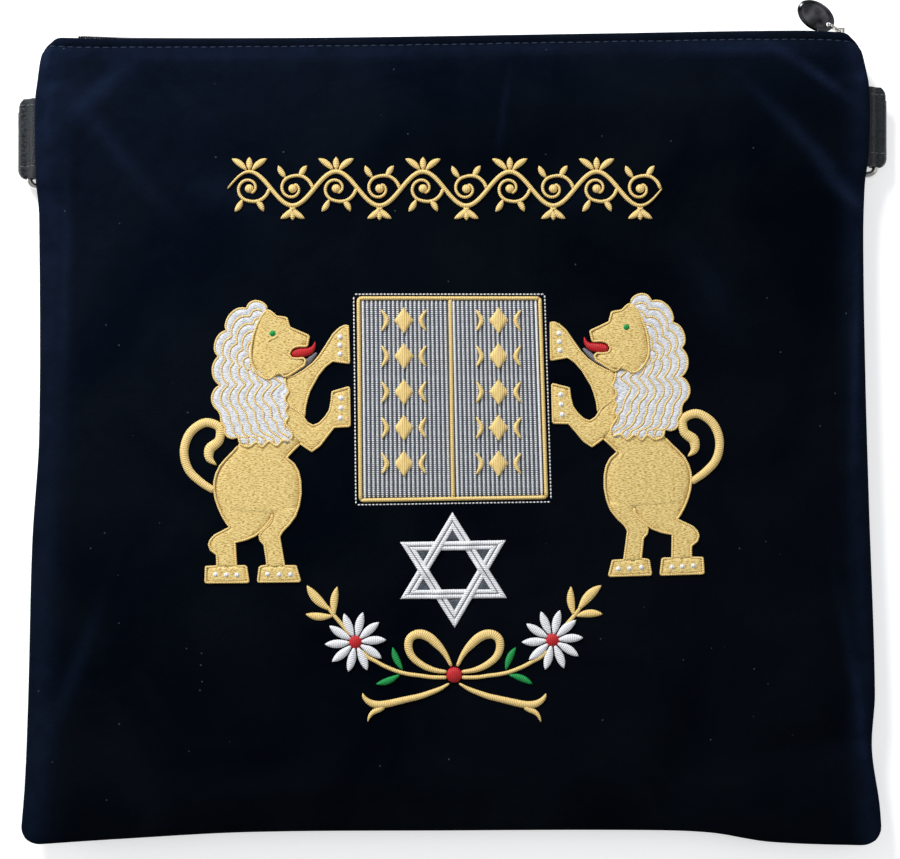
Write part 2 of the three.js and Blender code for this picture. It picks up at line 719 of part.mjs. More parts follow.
// A leather strip folded round the ring's bar, with both ends in the seam.
// The section is drawn in x outward from the velvet's edge and z, and runs on along y.
// At the top the fold is cut away between two rows, where the ring's leg comes through.
function tabGeometry(tab) {
  const half = leather / 2;
  const inner = wireRadius + fitGap;
  const nose = tabReach - leather;
  const shoulder = barOut - inner;
  const rows = [
    { x: -tabRoot, z: seamHeight + seamGap / 2 + half },
    { x: fitGap, z: seamHeight + seamGap / 2 + half },
    { x: barOut, z: barHeight + inner + half + tabSpring },
    { x: nose - inner * 0.55, z: barHeight + inner + half },
    { x: nose + half * 0.1, z: barHeight + inner * 0.86 },
    { x: nose + half, z: barHeight },
    { x: nose + half * 0.1, z: barHeight - inner * 0.86 },
    { x: nose - inner * 0.55, z: barHeight - inner - half },
    { x: barOut, z: barHeight - inner - half },
    { x: shoulder, z: barHeight - inner * 0.86 },
    { x: shoulder - half, z: barHeight },
    { x: shoulder - half, z: seamHeight - seamGap / 2 - leather },
    { x: fitGap, z: seamHeight - seamGap / 2 - half },
    { x: -tabRoot, z: seamHeight - seamGap / 2 - half },
  ];
  const cutFrom = 4;
  const cutTo = 11;
  const middle = rows.map((row) => new THREE.Vector2(row.x, row.z));
  const faceOf = (hand) => middle.map((point, index) => {
    const before = middle[Math.max(index - 1, 0)];
    const after = middle[Math.min(index + 1, middle.length - 1)];
    const into = point.clone().sub(before).normalize();
    const away = after.clone().sub(point).normalize();
    const along = into.add(away).normalize();
    return new THREE.Vector2(point.x - hand * along.y * half, point.y + hand * along.x * half);
  });
  const edge = tabEdgeX(tab);
  const top = tab.middle + tabWidth / 2;
  const legInside = tabWidth + ringShow - ringWidth + ringBend;
  const stretches = [top - tabWidth, top - legInside, top];
  const places = stretches.flatMap((y) => [faceOf(1), faceOf(-1)].flatMap(
    (face) => face.flatMap((point) => [tab.side * (edge + point.x), y, point.y]),
  ));
  const corner = (stretch, layer, row) => (stretch * 2 + layer) * rows.length + row;
  const isLeather = (stretch, row) => row >= 0 && row < rows.length - 1
    && (stretch === 0 || (stretch === 1 && (row < cutFrom || row >= cutTo)));
  const faces = [];
  const addQuad = (a, b, c, d, flip) => {
    if (flip === (tab.side > 0)) faces.push(a, b, c, a, c, d);
    else faces.push(a, c, b, a, d, c);
  };
  for (const stretch of [0, 1]) {
    for (let row = 0; row < rows.length - 1; row += 1) {
      if (isLeather(stretch, row)) {
        for (const layer of [0, 1]) {
          addQuad(
            corner(stretch, layer, row), corner(stretch, layer, row + 1),
            corner(stretch + 1, layer, row + 1), corner(stretch + 1, layer, row), layer === 0,
          );
        }
        for (const end of [0, 1]) {
          if (!isLeather(stretch + 2 * end - 1, row)) {
            addQuad(
              corner(stretch + end, 0, row), corner(stretch + end, 0, row + 1),
              corner(stretch + end, 1, row + 1), corner(stretch + end, 1, row), end === 1,
            );
          }
          if (!isLeather(stretch, row + 2 * end - 1)) {
            addQuad(
              corner(stretch, 0, row + end), corner(stretch + 1, 0, row + end),
              corner(stretch + 1, 1, row + end), corner(stretch, 1, row + end), end === 0,
            );
          }
        }
      }
    }
  }
  const geometry = new THREE.BufferGeometry();
  geometry.setAttribute('position', new THREE.Float32BufferAttribute(places, 3));
  geometry.setIndex(faces);
  return geometry;
}

addPiece('front_panel', panelGeometry(frontHeight, -1, frontMesh), velvetFinish);
addPiece('back_panel', panelGeometry(backHeight, 1, backMesh), velvetFinish);

addPiece('zip_tape_front', tapeGeometry(1), tapeFinish);
addPiece('zip_tape_back', tapeGeometry(-1), tapeFinish);
const frontCoil = addPiece('zip_coil_front', coilGeometry(0), coilFinish);
frontCoil.position.z = seamHeight + seamGap / 2;
const backCoil = addPiece('zip_coil_back', coilGeometry(0.5), coilFinish);
backCoil.position.z = seamHeight - seamGap / 2 - coilHalfWidth;
addPiece('zip_end_stop', stopGeometry(), nickelFinish);

const slider = new THREE.Group();
const sliderBackX = sliderX - sliderLength / 2;
slider.position.set(sliderX, chainY(sliderX), seamHeight);
slider.rotation.z = Math.atan2(chainY(sliderX) - chainY(sliderBackX), sliderX - sliderBackX);
bag.add(slider);
addPiece('zip_slider', sliderGeometry(), nickelFinish, slider);

const pull = new THREE.Group();
pull.position.set(pivotX, pivotY, 0);
pull.rotation.z = -bailAngle * degrees;
slider.add(pull);
addPiece('zip_bail', new THREE.ExtrudeGeometry(wireSection(bailRadius, 6), {
  extrudePath: new BailPath(), steps: 30, bevelEnabled: false,
}), nickelFinish, pull);
const tag = addPiece('zip_tag', tagGeometry(), pullFinish, pull);
tag.position.x = -bailLength;
tag.rotation.z = -(tagAngle - bailAngle) * degrees;

for (const tab of tabs) {
  addPiece(`tab_${tab.name}`, tabGeometry(tab), leatherFinish);
  const ring = addPiece(`ring_${tab.name}`, new THREE.ExtrudeGeometry(wireSection(wireRadius, 8), {
    extrudePath: new RingPath(tab.side), steps: 56, bevelEnabled: false,
  }), nickelFinish);
  const ringMiddle = tab.middle - tabWidth / 2 - ringShow + ringWidth / 2;
  ring.position.set(tab.side * (tabEdgeX(tab) + barOut), ringMiddle, barHeight);
  ring.rotation.y = -tab.side * ringTilt;
}

export default bag;
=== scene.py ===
import math

import bmesh
import bpy
import numpy as np
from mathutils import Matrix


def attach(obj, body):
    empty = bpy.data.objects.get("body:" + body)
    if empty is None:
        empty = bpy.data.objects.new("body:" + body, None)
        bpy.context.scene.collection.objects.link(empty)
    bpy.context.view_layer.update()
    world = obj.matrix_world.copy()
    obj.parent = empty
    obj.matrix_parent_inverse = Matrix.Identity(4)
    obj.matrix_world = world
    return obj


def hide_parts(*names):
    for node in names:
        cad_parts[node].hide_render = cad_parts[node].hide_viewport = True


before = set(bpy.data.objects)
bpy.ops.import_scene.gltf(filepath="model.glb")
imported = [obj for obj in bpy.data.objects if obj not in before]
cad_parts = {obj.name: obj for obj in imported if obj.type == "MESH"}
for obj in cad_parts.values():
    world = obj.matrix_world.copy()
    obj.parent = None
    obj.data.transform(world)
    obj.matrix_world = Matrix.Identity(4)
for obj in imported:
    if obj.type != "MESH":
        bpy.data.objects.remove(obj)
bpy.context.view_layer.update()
metre = 0.001  # every shape below is worked out in millimetres
print("frame loaded")


# Colours are written as sRGB hex and turned into the linear values that shaders use
def linearColour(hexText):
    shares = [int(hexText[place:place + 2], 16) / 255 for place in (1, 3, 5)]
    lines = [s / 12.92 if s <= 0.04045 else ((s + 0.055) / 1.055) ** 2.4 for s in shares]
    return (*lines, 1.0)


# Sets inputs of a node: each is a value, or a (node, output) pair to link
def setInputs(tree, node, inputs):
    for socket, value in inputs.items():
        if isinstance(value, tuple) and isinstance(value[0], bpy.types.Node):
            tree.links.new(value[0].outputs[value[1]], node.inputs[socket])
        else:
            node.inputs[socket].default_value = value


# Adds a node with its settings and inputs
def addNode(tree, kind, settings=None, inputs=None):
    node = tree.nodes.new(kind)
    for name, value in (settings or {}).items():
        setattr(node, name, value)
    setInputs(tree, node, inputs or {})
    return node


# A material with uniform roughness and specular level
def newFinish(name, roughness=0.5, specular=0.5):
    material = bpy.data.materials.new(name)
    material.use_nodes = True
    tree = material.node_tree
    tree.nodes.clear()
    shader = addNode(tree, "ShaderNodeBsdfPrincipled", None, {
        "Roughness": roughness, "Specular IOR Level": specular})
    addNode(tree, "ShaderNodeOutputMaterial", None, {"Surface": (shader, "BSDF")})
    return material, tree, shader


# A colour that runs between two by a 0 to 1 pattern
def blendColours(tree, pattern, low, high, fromLow=0.0, toHigh=1.0):
    low, high = (linearColour(end) if isinstance(end, str) else end for end in (low, high))
    ramp = addNode(tree, "ShaderNodeMapRange", {"clamp": True}, {
        "Value": pattern, "From Min": fromLow, "From Max": toHigh})
    mix = addNode(tree, "ShaderNodeMix", {"data_type": "RGBA"}, {
        0: (ramp, "Result"), 6: low, 7: high})
    return mix, 2


# The velvet's bluer colour is painted sheen, laid where the pile would catch the light
velvetLook = {
    "deep": "#01040a", "mid": "#060a10", "wearAndSheen": "#111a2d", "lint": "#656b76",
    "sheenTint": "#4a66a8", "sheenWeight": 0.012, "sheenRoughness": 0.3,
    "patchSize": 55, "streakSize": 12, "pileSize": 1.0, "rumpleSize": 7, "lintSpacing": 6,
    "lintBare": 0.8,
}


# Cotton velvet: near black where the pile swallows light, bluer with painted sheen along seams,
# fold ridges and towards the upper left (the U of its second UV map), with a few specks of lint
def velvetFinish():
    look = velvetLook
    material, tree, shader = newFinish("velvet_navy", 1.0, 0.02)
    here = (addNode(tree, "ShaderNodeTexCoord"), "Object")
    clouds = addNode(tree, "ShaderNodeTexNoise", None, {
        "Vector": here, "Scale": 1000 / look["patchSize"], "Detail": 4.0, "Distortion": 0.6})
    pile = addNode(tree, "ShaderNodeTexNoise", None, {
        "Vector": here, "Scale": 1000 / look["pileSize"], "Detail": 2.0})
    rumple = addNode(tree, "ShaderNodeTexNoise", None, {
        "Vector": here, "Scale": 1000 / look["rumpleSize"], "Detail": 3.0})
    streaks = addNode(tree, "ShaderNodeTexNoise", None, {
        "Vector": here, "Scale": 1000 / look["streakSize"], "Detail": 5.0, "Distortion": 1.0})
    sheenMap = addNode(tree, "ShaderNodeUVMap", {"uv_map": "bloom"})
    share = addNode(tree, "ShaderNodeSeparateXYZ", None, {"Vector": (sheenMap, "UV")})
    uneven = addNode(tree, "ShaderNodeMath", {"operation": "MULTIPLY_ADD"}, {
        0: (streaks, "Fac"), 1: 1.2, 2: 0.4})
    # Painted sheen: the map's share, broken up by streaks, sets how far the colour turns bluer
    sheenAmount = addNode(tree, "ShaderNodeMath", {"operation": "MULTIPLY"}, {
        0: (share, "X"), 1: (uneven, "Value")})
    dull = blendColours(tree, (clouds, "Fac"), look["deep"], look["mid"], 0.35, 0.65)
    # Painted sheen: the dull velvet turns to the bluer colour by that amount
    wearAndSheen = blendColours(tree, (sheenAmount, "Value"), dull, look["wearAndSheen"])
    specks = addNode(tree, "ShaderNodeTexVoronoi", None, {
        "Vector": here, "Scale": 1000 / look["lintSpacing"]})
    chosen = addNode(tree, "ShaderNodeSeparateColor", None, {"Color": (specks, "Color")})
    rare = addNode(tree, "ShaderNodeMath", {"operation": "GREATER_THAN"}, {
        0: (chosen, "Red"), 1: look["lintBare"]})
    near = addNode(tree, "ShaderNodeMapRange", {"clamp": True}, {
        "Value": (specks, "Distance"), "From Min": 0.07, "From Max": 0.03})
    lint = addNode(tree, "ShaderNodeMath", {"operation": "MULTIPLY"}, {
        0: (rare, "Value"), 1: (near, "Result")})
    soft = addNode(tree, "ShaderNodeBump", None, {
        "Height": (rumple, "Fac"), "Strength": 0.5, "Distance": 1.2 * metre})
    fuzzy = addNode(tree, "ShaderNodeBump", None, {
        "Height": (pile, "Fac"), "Strength": 0.5, "Distance": 0.5 * metre, "Normal": (soft, "Normal")})
    setInputs(tree, shader, {
        "Base Color": blendColours(tree, (lint, "Value"), wearAndSheen, look["lint"], 0.0, 2.6),
        "Normal": (fuzzy, "Normal"), "Sheen Weight": look["sheenWeight"],
        "Sheen Roughness": look["sheenRoughness"], "Sheen Tint": linearColour(look["sheenTint"])})
    return material


# Each thread's painted shade and painted highlight colour, stitch pitch in mm, shine and the two
# pattern values between which it turns from painted shade to painted highlight
threadLooks = {
    "gold_satin": ("#c09a48", "#eed28c", 0.8, 0.4, 0.1, 1.0),
    "silver_satin": ("#a9acb2", "#f0f1f3", 0.8, 0.4, 0.1, 1.0),
    "tablet_ribs": ("#3a3f47", "#e9ebee", 0.9, 0.3, 0.35, 0.9),
    "grey_satin": ("#474a50", "#74777f", 0.8, 0.4, 0.1, 1.0),
    "red_satin": ("#96141a", "#c42026", 0.8, 0.3, 0.1, 1.0),
    "green_satin": ("#0a7434", "#129548", 0.8, 0.3, 0.1, 1.0),
    "seam_thread": ("#131b2a", "#2c374b", 0.8, 0.1, 0.1, 1.0),
    "tab_thread": ("#3a3f45", "#666c73", 0.8, 0.2, 0.1, 1.0),
}
wobbleSize = 1.11  # mm over which a thread's shade wavers


# Rayon satin stitch: fine threads laid side by side across the stroke, so the shine breaks into
# short bars, painted into the base colour as shade and highlight. The thread pitch is drawn at twice the
# real 0.4 mm; a wave texture repeats every 0.314 of its scale.
def satinFinish(name):
    dark, light, pitch, shine, low, high = threadLooks[name]
    material, tree, shader = newFinish(name, 0.5, shine)
    along = (addNode(tree, "ShaderNodeUVMap", {"uv_map": "stitches"}), "UV")
    wobble = addNode(tree, "ShaderNodeTexNoise", None, {
        "Vector": along, "Scale": 1000 / wobbleSize, "Detail": 2.0})
    threads = addNode(tree, "ShaderNodeTexWave", {"bands_direction": "X"}, {
        "Vector": along, "Scale": 1000 / pitch * 0.314,
        "Distortion": 1.6, "Detail": 2.0, "Detail Scale": 1.5})
    mixed = addNode(tree, "ShaderNodeMath", {"operation": "MULTIPLY_ADD"}, {
        0: (wobble, "Fac"), 1: 0.6, 2: (threads, "Fac")})
    bump = addNode(tree, "ShaderNodeBump", None, {
        "Height": (mixed, "Value"), "Strength": 0.5, "Distance": 0.3 * metre})
    # Base colour: painted shade and painted highlight of the threads, by the thread pattern
    setInputs(tree, shader, {
        "Base Color": blendColours(tree, (mixed, "Value"), dark, light, low, high),
        "Normal": (bump, "Normal")})
    return material


fillLooks = {
    "gold_fill": {"shade": "#d6b970", "light": "#e6cd88", "dipShade": "#ab8b45", "share": 0.54},
    "silver_fill": {"shade": "#bfc2c8", "light": "#dcdee2", "dipShade": "#989ca4", "share": 0.58},
    "grey_fill": {"shade": "#3c4149", "light": "#4e545d", "dipShade": "#2c3038", "share": 0.55},
}
fillSizes = {"dashLength": 1.315, "dashHeight": 0.435, "dashSlant": 0.16, "cloud": 2.38}


# Filling stitch: short rayon stitches lie close together, and where one dips under the
# cloth its pit lies in shade, painted as a dark dash
def fillFinish(name):
    look, size = fillLooks[name], fillSizes
    material, tree, shader = newFinish(name, 0.6, 0.3)
    along = (addNode(tree, "ShaderNodeUVMap", {"uv_map": "stitches"}), "UV")
    tilted = addNode(tree, "ShaderNodeMapping", None, {
        "Vector": along, "Rotation": (0.0, 0.0, size["dashSlant"]),
        "Scale": (1000 / size["dashLength"], 1000 / size["dashHeight"], 1.0)})
    dips = addNode(tree, "ShaderNodeTexNoise", None, {
        "Vector": (tilted, "Vector"), "Scale": 1.0, "Detail": 1.0, "Roughness": 0.4})
    cloudy = addNode(tree, "ShaderNodeTexNoise", None, {
        "Vector": along, "Scale": 1000 / size["cloud"], "Detail": 2.0})
    ground = blendColours(tree, (cloudy, "Fac"), look["shade"], look["light"], 0.25, 0.55)
    bump = addNode(tree, "ShaderNodeBump", {"invert": True}, {
        "Height": (dips, "Fac"), "Strength": 0.5, "Distance": 0.4 * metre})
    # Painted shade: the dark dashes in the dips of the stitches
    setInputs(tree, shader, {
        "Base Color": blendColours(tree, (dips, "Fac"), ground, look["dipShade"],
                                   look["share"] - 0.08, look["share"] + 0.14),
        "Normal": (bump, "Normal")})
    return material


tapeLook = {"dark": "#05070d", "light": "#161f35", "twill": 1.5, "wearAndSheen": 6.67}


# Woven polyester tape: a fine twill of dull navy threads; diagonal bands repeat every
# 0.628 of the scale
def tapeFinish():
    look = tapeLook
    material, tree, shader = newFinish("zip_tape_weave", 0.85)
    here = (addNode(tree, "ShaderNodeTexCoord"), "Object")
    weave = addNode(tree, "ShaderNodeTexWave", {"bands_direction": "DIAGONAL"}, {
        "Vector": here, "Scale": 1000 / look["twill"] * 0.628, "Distortion": 0.5})
    wearAndSheen = addNode(tree, "ShaderNodeTexNoise", None, {
        "Vector": here, "Scale": 1000 / look["wearAndSheen"], "Detail": 3.0})
    both = addNode(tree, "ShaderNodeMath", {"operation": "MULTIPLY"}, {
        0: (weave, "Fac"), 1: (wearAndSheen, "Fac")})
    bump = addNode(tree, "ShaderNodeBump", None, {
        "Height": (weave, "Fac"), "Strength": 0.5, "Distance": 0.2 * metre})
    setInputs(tree, shader, {
        "Base Color": blendColours(tree, (both, "Value"), look["dark"], look["light"], 0.0, 0.7),
        "Normal": (bump, "Normal")})
    return material


nylonLook = {"dark": "#04060c", "light": "#0c1322", "streak": 3.125}


# Dyed nylon monofilament: smooth, with a soft shine and slight streaks in the dye
def nylonFinish():
    look = nylonLook
    material, tree, shader = newFinish("zip_nylon", 0.5, 0.12)
    streaks = addNode(tree, "ShaderNodeTexNoise", None, {
        "Vector": (addNode(tree, "ShaderNodeTexCoord"), "Object"),
        "Scale": 1000 / look["streak"], "Detail": 2.0})
    bump = addNode(tree, "ShaderNodeBump", None, {
        "Height": (streaks, "Fac"), "Strength": 0.15, "Distance": 0.1 * metre})
    setInputs(tree, shader, {
        "Base Color": blendColours(tree, (streaks, "Fac"), look["dark"], look["light"], 0.3, 0.7),
        "Normal": (bump, "Normal")})
    return material


leatherLook = {"dark": "#0a0f15", "rubbed": "#1a222b", "grainGapShade": "#05070a", "grain": 1.282,
               "rubSize": 11.1, "smoothest": 0.42, "dullest": 0.6}


# Pebbled leather: rounded grains about a millimetre across, greyer where it is rubbed, with painted shade in
# the gaps between grains
def leatherFinish():
    look = leatherLook
    material, tree, shader = newFinish("tab_leather", specular=0.32)
    here = (addNode(tree, "ShaderNodeTexCoord"), "Object")
    grains = addNode(tree, "ShaderNodeTexVoronoi", {"feature": "SMOOTH_F1"}, {
        "Vector": here, "Scale": 1000 / look["grain"], "Smoothness": 0.6, "Randomness": 0.9})
    rubbed = addNode(tree, "ShaderNodeTexNoise", None, {
        "Vector": here, "Scale": 1000 / look["rubSize"], "Detail": 4.0})
    base = blendColours(tree, (rubbed, "Fac"), look["dark"], look["rubbed"], 0.3, 0.75)
    rough = addNode(tree, "ShaderNodeMapRange", None, {
        "Value": (rubbed, "Fac"), "To Min": look["smoothest"], "To Max": look["dullest"]})
    bump = addNode(tree, "ShaderNodeBump", {"invert": True}, {
        "Height": (grains, "Distance"), "Strength": 0.6, "Distance": 0.4 * metre})
    # Painted shade: darker away from each grain's middle, in the gaps between grains
    setInputs(tree, shader, {
        "Base Color": blendColours(tree, (grains, "Distance"), base, look["grainGapShade"], 0.35, 0.75),
        "Roughness": (rough, "Result"), "Normal": (bump, "Normal")})
    return material


platedSizes = {"smearAndReflectionSize": 6.25, "scratch": (2.5, 0.333, 1.11)}


# Plated metal: bright, with broad patches of painted reflection in its colour, faint smears in its polish
# and fine scratches
def platedFinish(name, dark, light, roughLow, roughHigh):
    material, tree, shader = newFinish(name)
    here = (addNode(tree, "ShaderNodeTexCoord"), "Object")
    smearsAndReflections = addNode(tree, "ShaderNodeTexNoise", None, {
        "Vector": here, "Scale": 1000 / platedSizes["smearAndReflectionSize"], "Detail": 5.0})
    stretched = addNode(tree, "ShaderNodeMapping", None, {
        "Vector": here, "Scale": tuple(1000 / size for size in platedSizes["scratch"])})
    scratches = addNode(tree, "ShaderNodeTexNoise", None, {
        "Vector": (stretched, "Vector"), "Scale": 1.0, "Detail": 3.0})
    rough = addNode(tree, "ShaderNodeMapRange", None, {
        "Value": (smearsAndReflections, "Fac"), "To Min": roughLow, "To Max": roughHigh})
    bump = addNode(tree, "ShaderNodeBump", None, {
        "Height": (scratches, "Fac"), "Strength": 0.06, "Distance": 0.1 * metre})
    # Painted reflection: the colour runs from dark to light in broad patches
    setInputs(tree, shader, {
        "Base Color": blendColours(tree, (smearsAndReflections, "Fac"), dark, light, 0.3, 0.7),
        "Metallic": 1.0, "Roughness": (rough, "Result"), "Normal": (bump, "Normal")})
    return material


velvet = velvetFinish()
satins = {name: satinFinish(name) for name in threadLooks}
fills = {name: fillFinish(name) for name in fillLooks}
zipTape = tapeFinish()
zipNylon = nylonFinish()
tabLeather = leatherFinish()
nickel = platedFinish("nickel_plate", "#a9a8a4", "#d9d7d2", 0.14, 0.3)
# The gunmetal's strong dark and light patches are painted reflection
gunmetal = platedFinish("gunmetal_plate", "#1f1f22", "#66666b", 0.12, 0.26)
print("finishes made")

bagForm = {
    "halfWidth": 189.6, "halfHeight": 178.8, "cornerRadius": 9.0, "seamHeight": 11.0,
    "crown": 11.5, "wall": 2.0, "seamGap": 0.3, "fitGap": 0.3, "restInset": 55.0,
    "fillPower": 4.5, "fillEase": 0.72, "restEase": 1.5, "rimThickness": 0.4,
    "zipOpening": 4.6, "zipEase": 0.03, "zipFade": 0.14,
    "tabOpening": 1.75, "tabHalf": 17.5, "tabEase": 8.0, "tabFade": 0.12,
    "tabMiddles": {-1: 132.5, 1: 137.6},
    "puckerHeight": 0.45, "puckerReach": 13.0, "swellHeight": 0.5,
    "grooveDepth": 0.5, "grooveBelow": 4.2,
}

# Edge rows: place along the edge and how far out it lies, as shares of the half sizes;
# the first and last rows are the corners
topEdge = ((-1, .985), (-.84, .98), (-.29, .983), (.36, .993), (.85, 1), (1, .994))
bottomEdge = (
    (-1, .999), (-.77, .983), (-.47, .966), (0, .962), (.44, .961), (.6, .967), (.74, .99), (1, 1))
leftEdge = (
    (-1, 1), (-.84, .988), (-.62, .98), (-.25, .971), (.02, .955), (.56, .955), (.64, .961),
    (.83, .963), (.92, .956), (1, .942))
rightEdge = (
    (-1, 1), (-.9, .994), (-.76, .976), (-.62, .983), (-.15, .969), (.15, .961), (.5, .956),
    (.64, .96), (.72, .968), (.88, .967), (1, .944))
# Fold rows: x and y share, length and width as shares of the bag, turn, height share
frontFolds = (
    (.86, .83, .16, .02, -38, .16), (.82, .6, .2, .035, -48, -.14), (.01, .82, .14, .016, 90, -.1),
    (-.86, .86, .14, .03, 35, .12), (-.83, .42, .17, .03, 84, .12), (-.78, -.36, .12, .02, 60, -.1),
    (.92, -.74, .13, .022, 12, -.2), (.52, -.9, .17, .028, 72, -.16),
    (-.3, -.88, .2, .03, 6, .1), (-.9, -.86, .13, .026, -40, .12))


# A smooth 0 to 1 step between two values, in either order
def ease(low, high, value):
    share = np.clip((value - low) / (high - low), 0, 1)
    return share * share * (3 - 2 * share)


# A cubic from one value to the next at a share t of a span, with the slopes at both:
# (1 + 2t)(1 - t)^2 a + t^2 (3 - 2t) b + h t (1 - t) ((1 - t) slopeA - t slopeB)
def cubic(t, a, b, slopeA, slopeB, span):
    return (1 + 2 * t) * (1 - t) ** 2 * a + t * t * (3 - 2 * t) * b \
        + span * t * (1 - t) * ((1 - t) * slopeA - t * slopeB)


# Reads a table at any place with a cubic through its rows, its slope at a row
# being that between the rows before and after it
def follow(table, along):
    at, out = np.array(table, float).T
    count = len(at)
    place = np.clip(along, -1, 1)
    row = np.clip(np.searchsorted(at, place, side="left") - 1, 0, count - 2)
    before = np.maximum(np.arange(count) - 1, 0)
    after = np.minimum(np.arange(count) + 1, count - 1)
    slope = (out[after] - out[before]) / (at[after] - at[before])
    span = at[row + 1] - at[row]
    t = (place - at[row]) / span
    return cubic(t, out[row], out[row + 1], slope[row], slope[row + 1], span)


# Left, right, bottom and top of the outline at a place on the square
def outlineSides(u, v):
    hw, hh = bagForm["halfWidth"], bagForm["halfHeight"]
    return (-hw * follow(leftEdge, v), hw * follow(rightEdge, v),
            -hh * follow(bottomEdge, u), hh * follow(topEdge, u))


# A place on the square from -1 to 1 goes to one inside the outline; near each corner
# the square is first mapped onto a quarter disc
def outlinePoint(u, v):
    cut = bagForm["cornerRadius"] / bagForm["halfHeight"]
    p = (np.abs(u) - 1 + cut) / cut
    q = (np.abs(v) - 1 + cut) / cut
    corner = (p > 0) & (q > 0)
    p, q = np.where(corner, p, 0), np.where(corner, q, 0)
    ru = np.where(corner, np.sign(u) * (1 - cut + cut * p * np.sqrt(1 - q * q / 2)), u)
    rv = np.where(corner, np.sign(v) * (1 - cut + cut * q * np.sqrt(1 - p * p / 2)), v)
    left, right, bottom, top = outlineSides(ru, rv)
    return left + (right - left) * (ru + 1) / 2, bottom + (top - bottom) * (rv + 1) / 2


# The place on the square of a point of the bag, found by repeating the inverse
def squarePlace(x, y):
    u, v = x / bagForm["halfWidth"], y / bagForm["halfHeight"]
    for _ in range(6):
        left, right, bottom, top = outlineSides(u, v)
        u = np.clip(2 * (x - left) / (right - left) - 1, -1, 1)
        v = np.clip(2 * (y - bottom) / (top - bottom) - 1, -1, 1)
    return u, v


# The y of a share v of a side's height, and the share of a y
def sideY(side, v):
    _, _, bottom, top = outlineSides(float(side), 0.0)
    return bottom + (top - bottom) * (v + 1) / 2


def sideV(side, y):
    _, _, bottom, top = outlineSides(float(side), 0.0)
    return 2 * (y - bottom) / (top - bottom) - 1


# Half the space that the zip and the tabs keep open between the two panels
def halfGap(u, v):
    form = bagForm
    thin = form["seamGap"] / 2
    zipShare = ease(1, 1 - form["zipEase"], np.abs(u)) * ease(1 - form["zipFade"], 1, v)
    widest = thin + (form["zipOpening"] - thin) * zipShare
    clear = form["tabHalf"] + form["fitGap"]
    for side, middle in form["tabMiddles"].items():
        beside = ease(clear + form["tabEase"], clear, np.abs(sideY(side, v) - middle))
        inward = ease(1 - form["tabFade"], 1 - form["tabFade"] / 3, u * side)
        widest = np.maximum(widest, thin + (form["tabOpening"] - thin) * beside * inward)
    return widest


# 0 at a seam and 1 in the middle, steep at the seam and nearly flat inside
def fill(share):
    power, easing = bagForm["fillPower"], bagForm["fillEase"]
    return (1 - np.minimum(np.abs(share), 1) ** power) ** easing


# The wall's edge is rounded: its outer face starts lower at the rim
def rimShare(u, v):
    inset = np.minimum((1 - np.abs(u)) * bagForm["halfWidth"], (1 - np.abs(v)) * bagForm["halfHeight"])
    share = np.minimum(inset / bagForm["wall"], 1)
    thin = bagForm["rimThickness"]
    return thin + (1 - thin) * np.sqrt(1 - (1 - share) ** 2)


# Sum of turned bells, each exp(-along^2 - beside^2) by its row of x, y, length, breadth,
# turn and strength
def bells(rows, u, v):
    width = 2 * bagForm["halfWidth"]
    total = np.zeros_like(u * v)
    for x, y, length, breadth, turn, strength in rows:
        dx, dy = (u - x) * bagForm["halfWidth"], (v - y) * bagForm["halfHeight"]
        c, s = math.cos(math.radians(turn)), math.sin(math.radians(turn))
        along, beside = (dx * c + dy * s) / (length * width), (dy * c - dx * s) / (breadth * width)
        total = total + strength * np.exp(-along ** 2 - beside ** 2)
    return total


# The folds are bells as high as a share of the crown, and fade towards the seams
def foldHeight(u, v):
    return bagForm["crown"] * bells(frontFolds, u, v) * np.minimum(1, 2 * fill(u) * fill(v))


# Fine rumples that the solid leaves out: small puckers at right angles to each seam,
# dying away inwards, a slow swell over the whole face and the groove of the topstitching
def rumples(u, v):
    form = bagForm
    x, y = u * form["halfWidth"], v * form["halfHeight"]
    fromSide = (1 - np.abs(u)) * form["halfWidth"]
    fromTop = (1 - np.abs(v)) * form["halfHeight"]

    # A fine wave of changing width and a broad one, times exp(-inset / reach)
    def puckers(along, fine, slow, broad, start, inset):
        wave = np.sin(along / fine + 2 * np.sin(along / slow)) + 0.7 * np.sin(along / broad + start)
        return wave * np.exp(-inset / form["puckerReach"]) * ease(0, 5, inset)
    waves = puckers(y, 3.4, 21, 6.1, 1.3 + u, fromSide) + puckers(x, 3.9, 26, 7.3, 2.1 + v, fromTop)
    swell = np.sin(x / 31 + 1.1 * np.sin(y / 43)) * np.sin(y / 27 + 0.9 * np.sin(x / 37) + 0.6)
    groove = form["grooveDepth"] * np.exp(-(((1 - v) * form["halfHeight"] - form["grooveBelow"]) / 0.9) ** 2)
    return form["puckerHeight"] * waves + form["swellHeight"] * swell * fill(u) * fill(v) - groove


# Outer face of the front: the seam, half the gap, the wall, the crown and the folds
def frontHeight(u, v):
    form = bagForm
    crown = form["crown"] * fill(u) * fill(v)
    return form["seamHeight"] + halfGap(u, v) + form["wall"] + crown + foldHeight(u, v) + rumples(u, v)


# Outer face of the back: flat where it lies, rising to the seams
def backHeight(u, v):
    form = bagForm

    # 0 over the flat rest, then a power of the share that is left to the seam
    def climb(share, half):
        flat = 1 - form["restInset"] / half
        return np.maximum(0, (np.abs(share) - flat) / (1 - flat)) ** form["restEase"]
    rise = 1 - (1 - climb(u, form["halfWidth"])) * (1 - climb(v, form["halfHeight"]))
    return (form["seamHeight"] - form["wall"] - halfGap(u, v)) * rise


# Height of the velvet under any point of the front
def frontAt(x, y):
    return frontHeight(*squarePlace(np.asarray(x, float), np.asarray(y, float)))


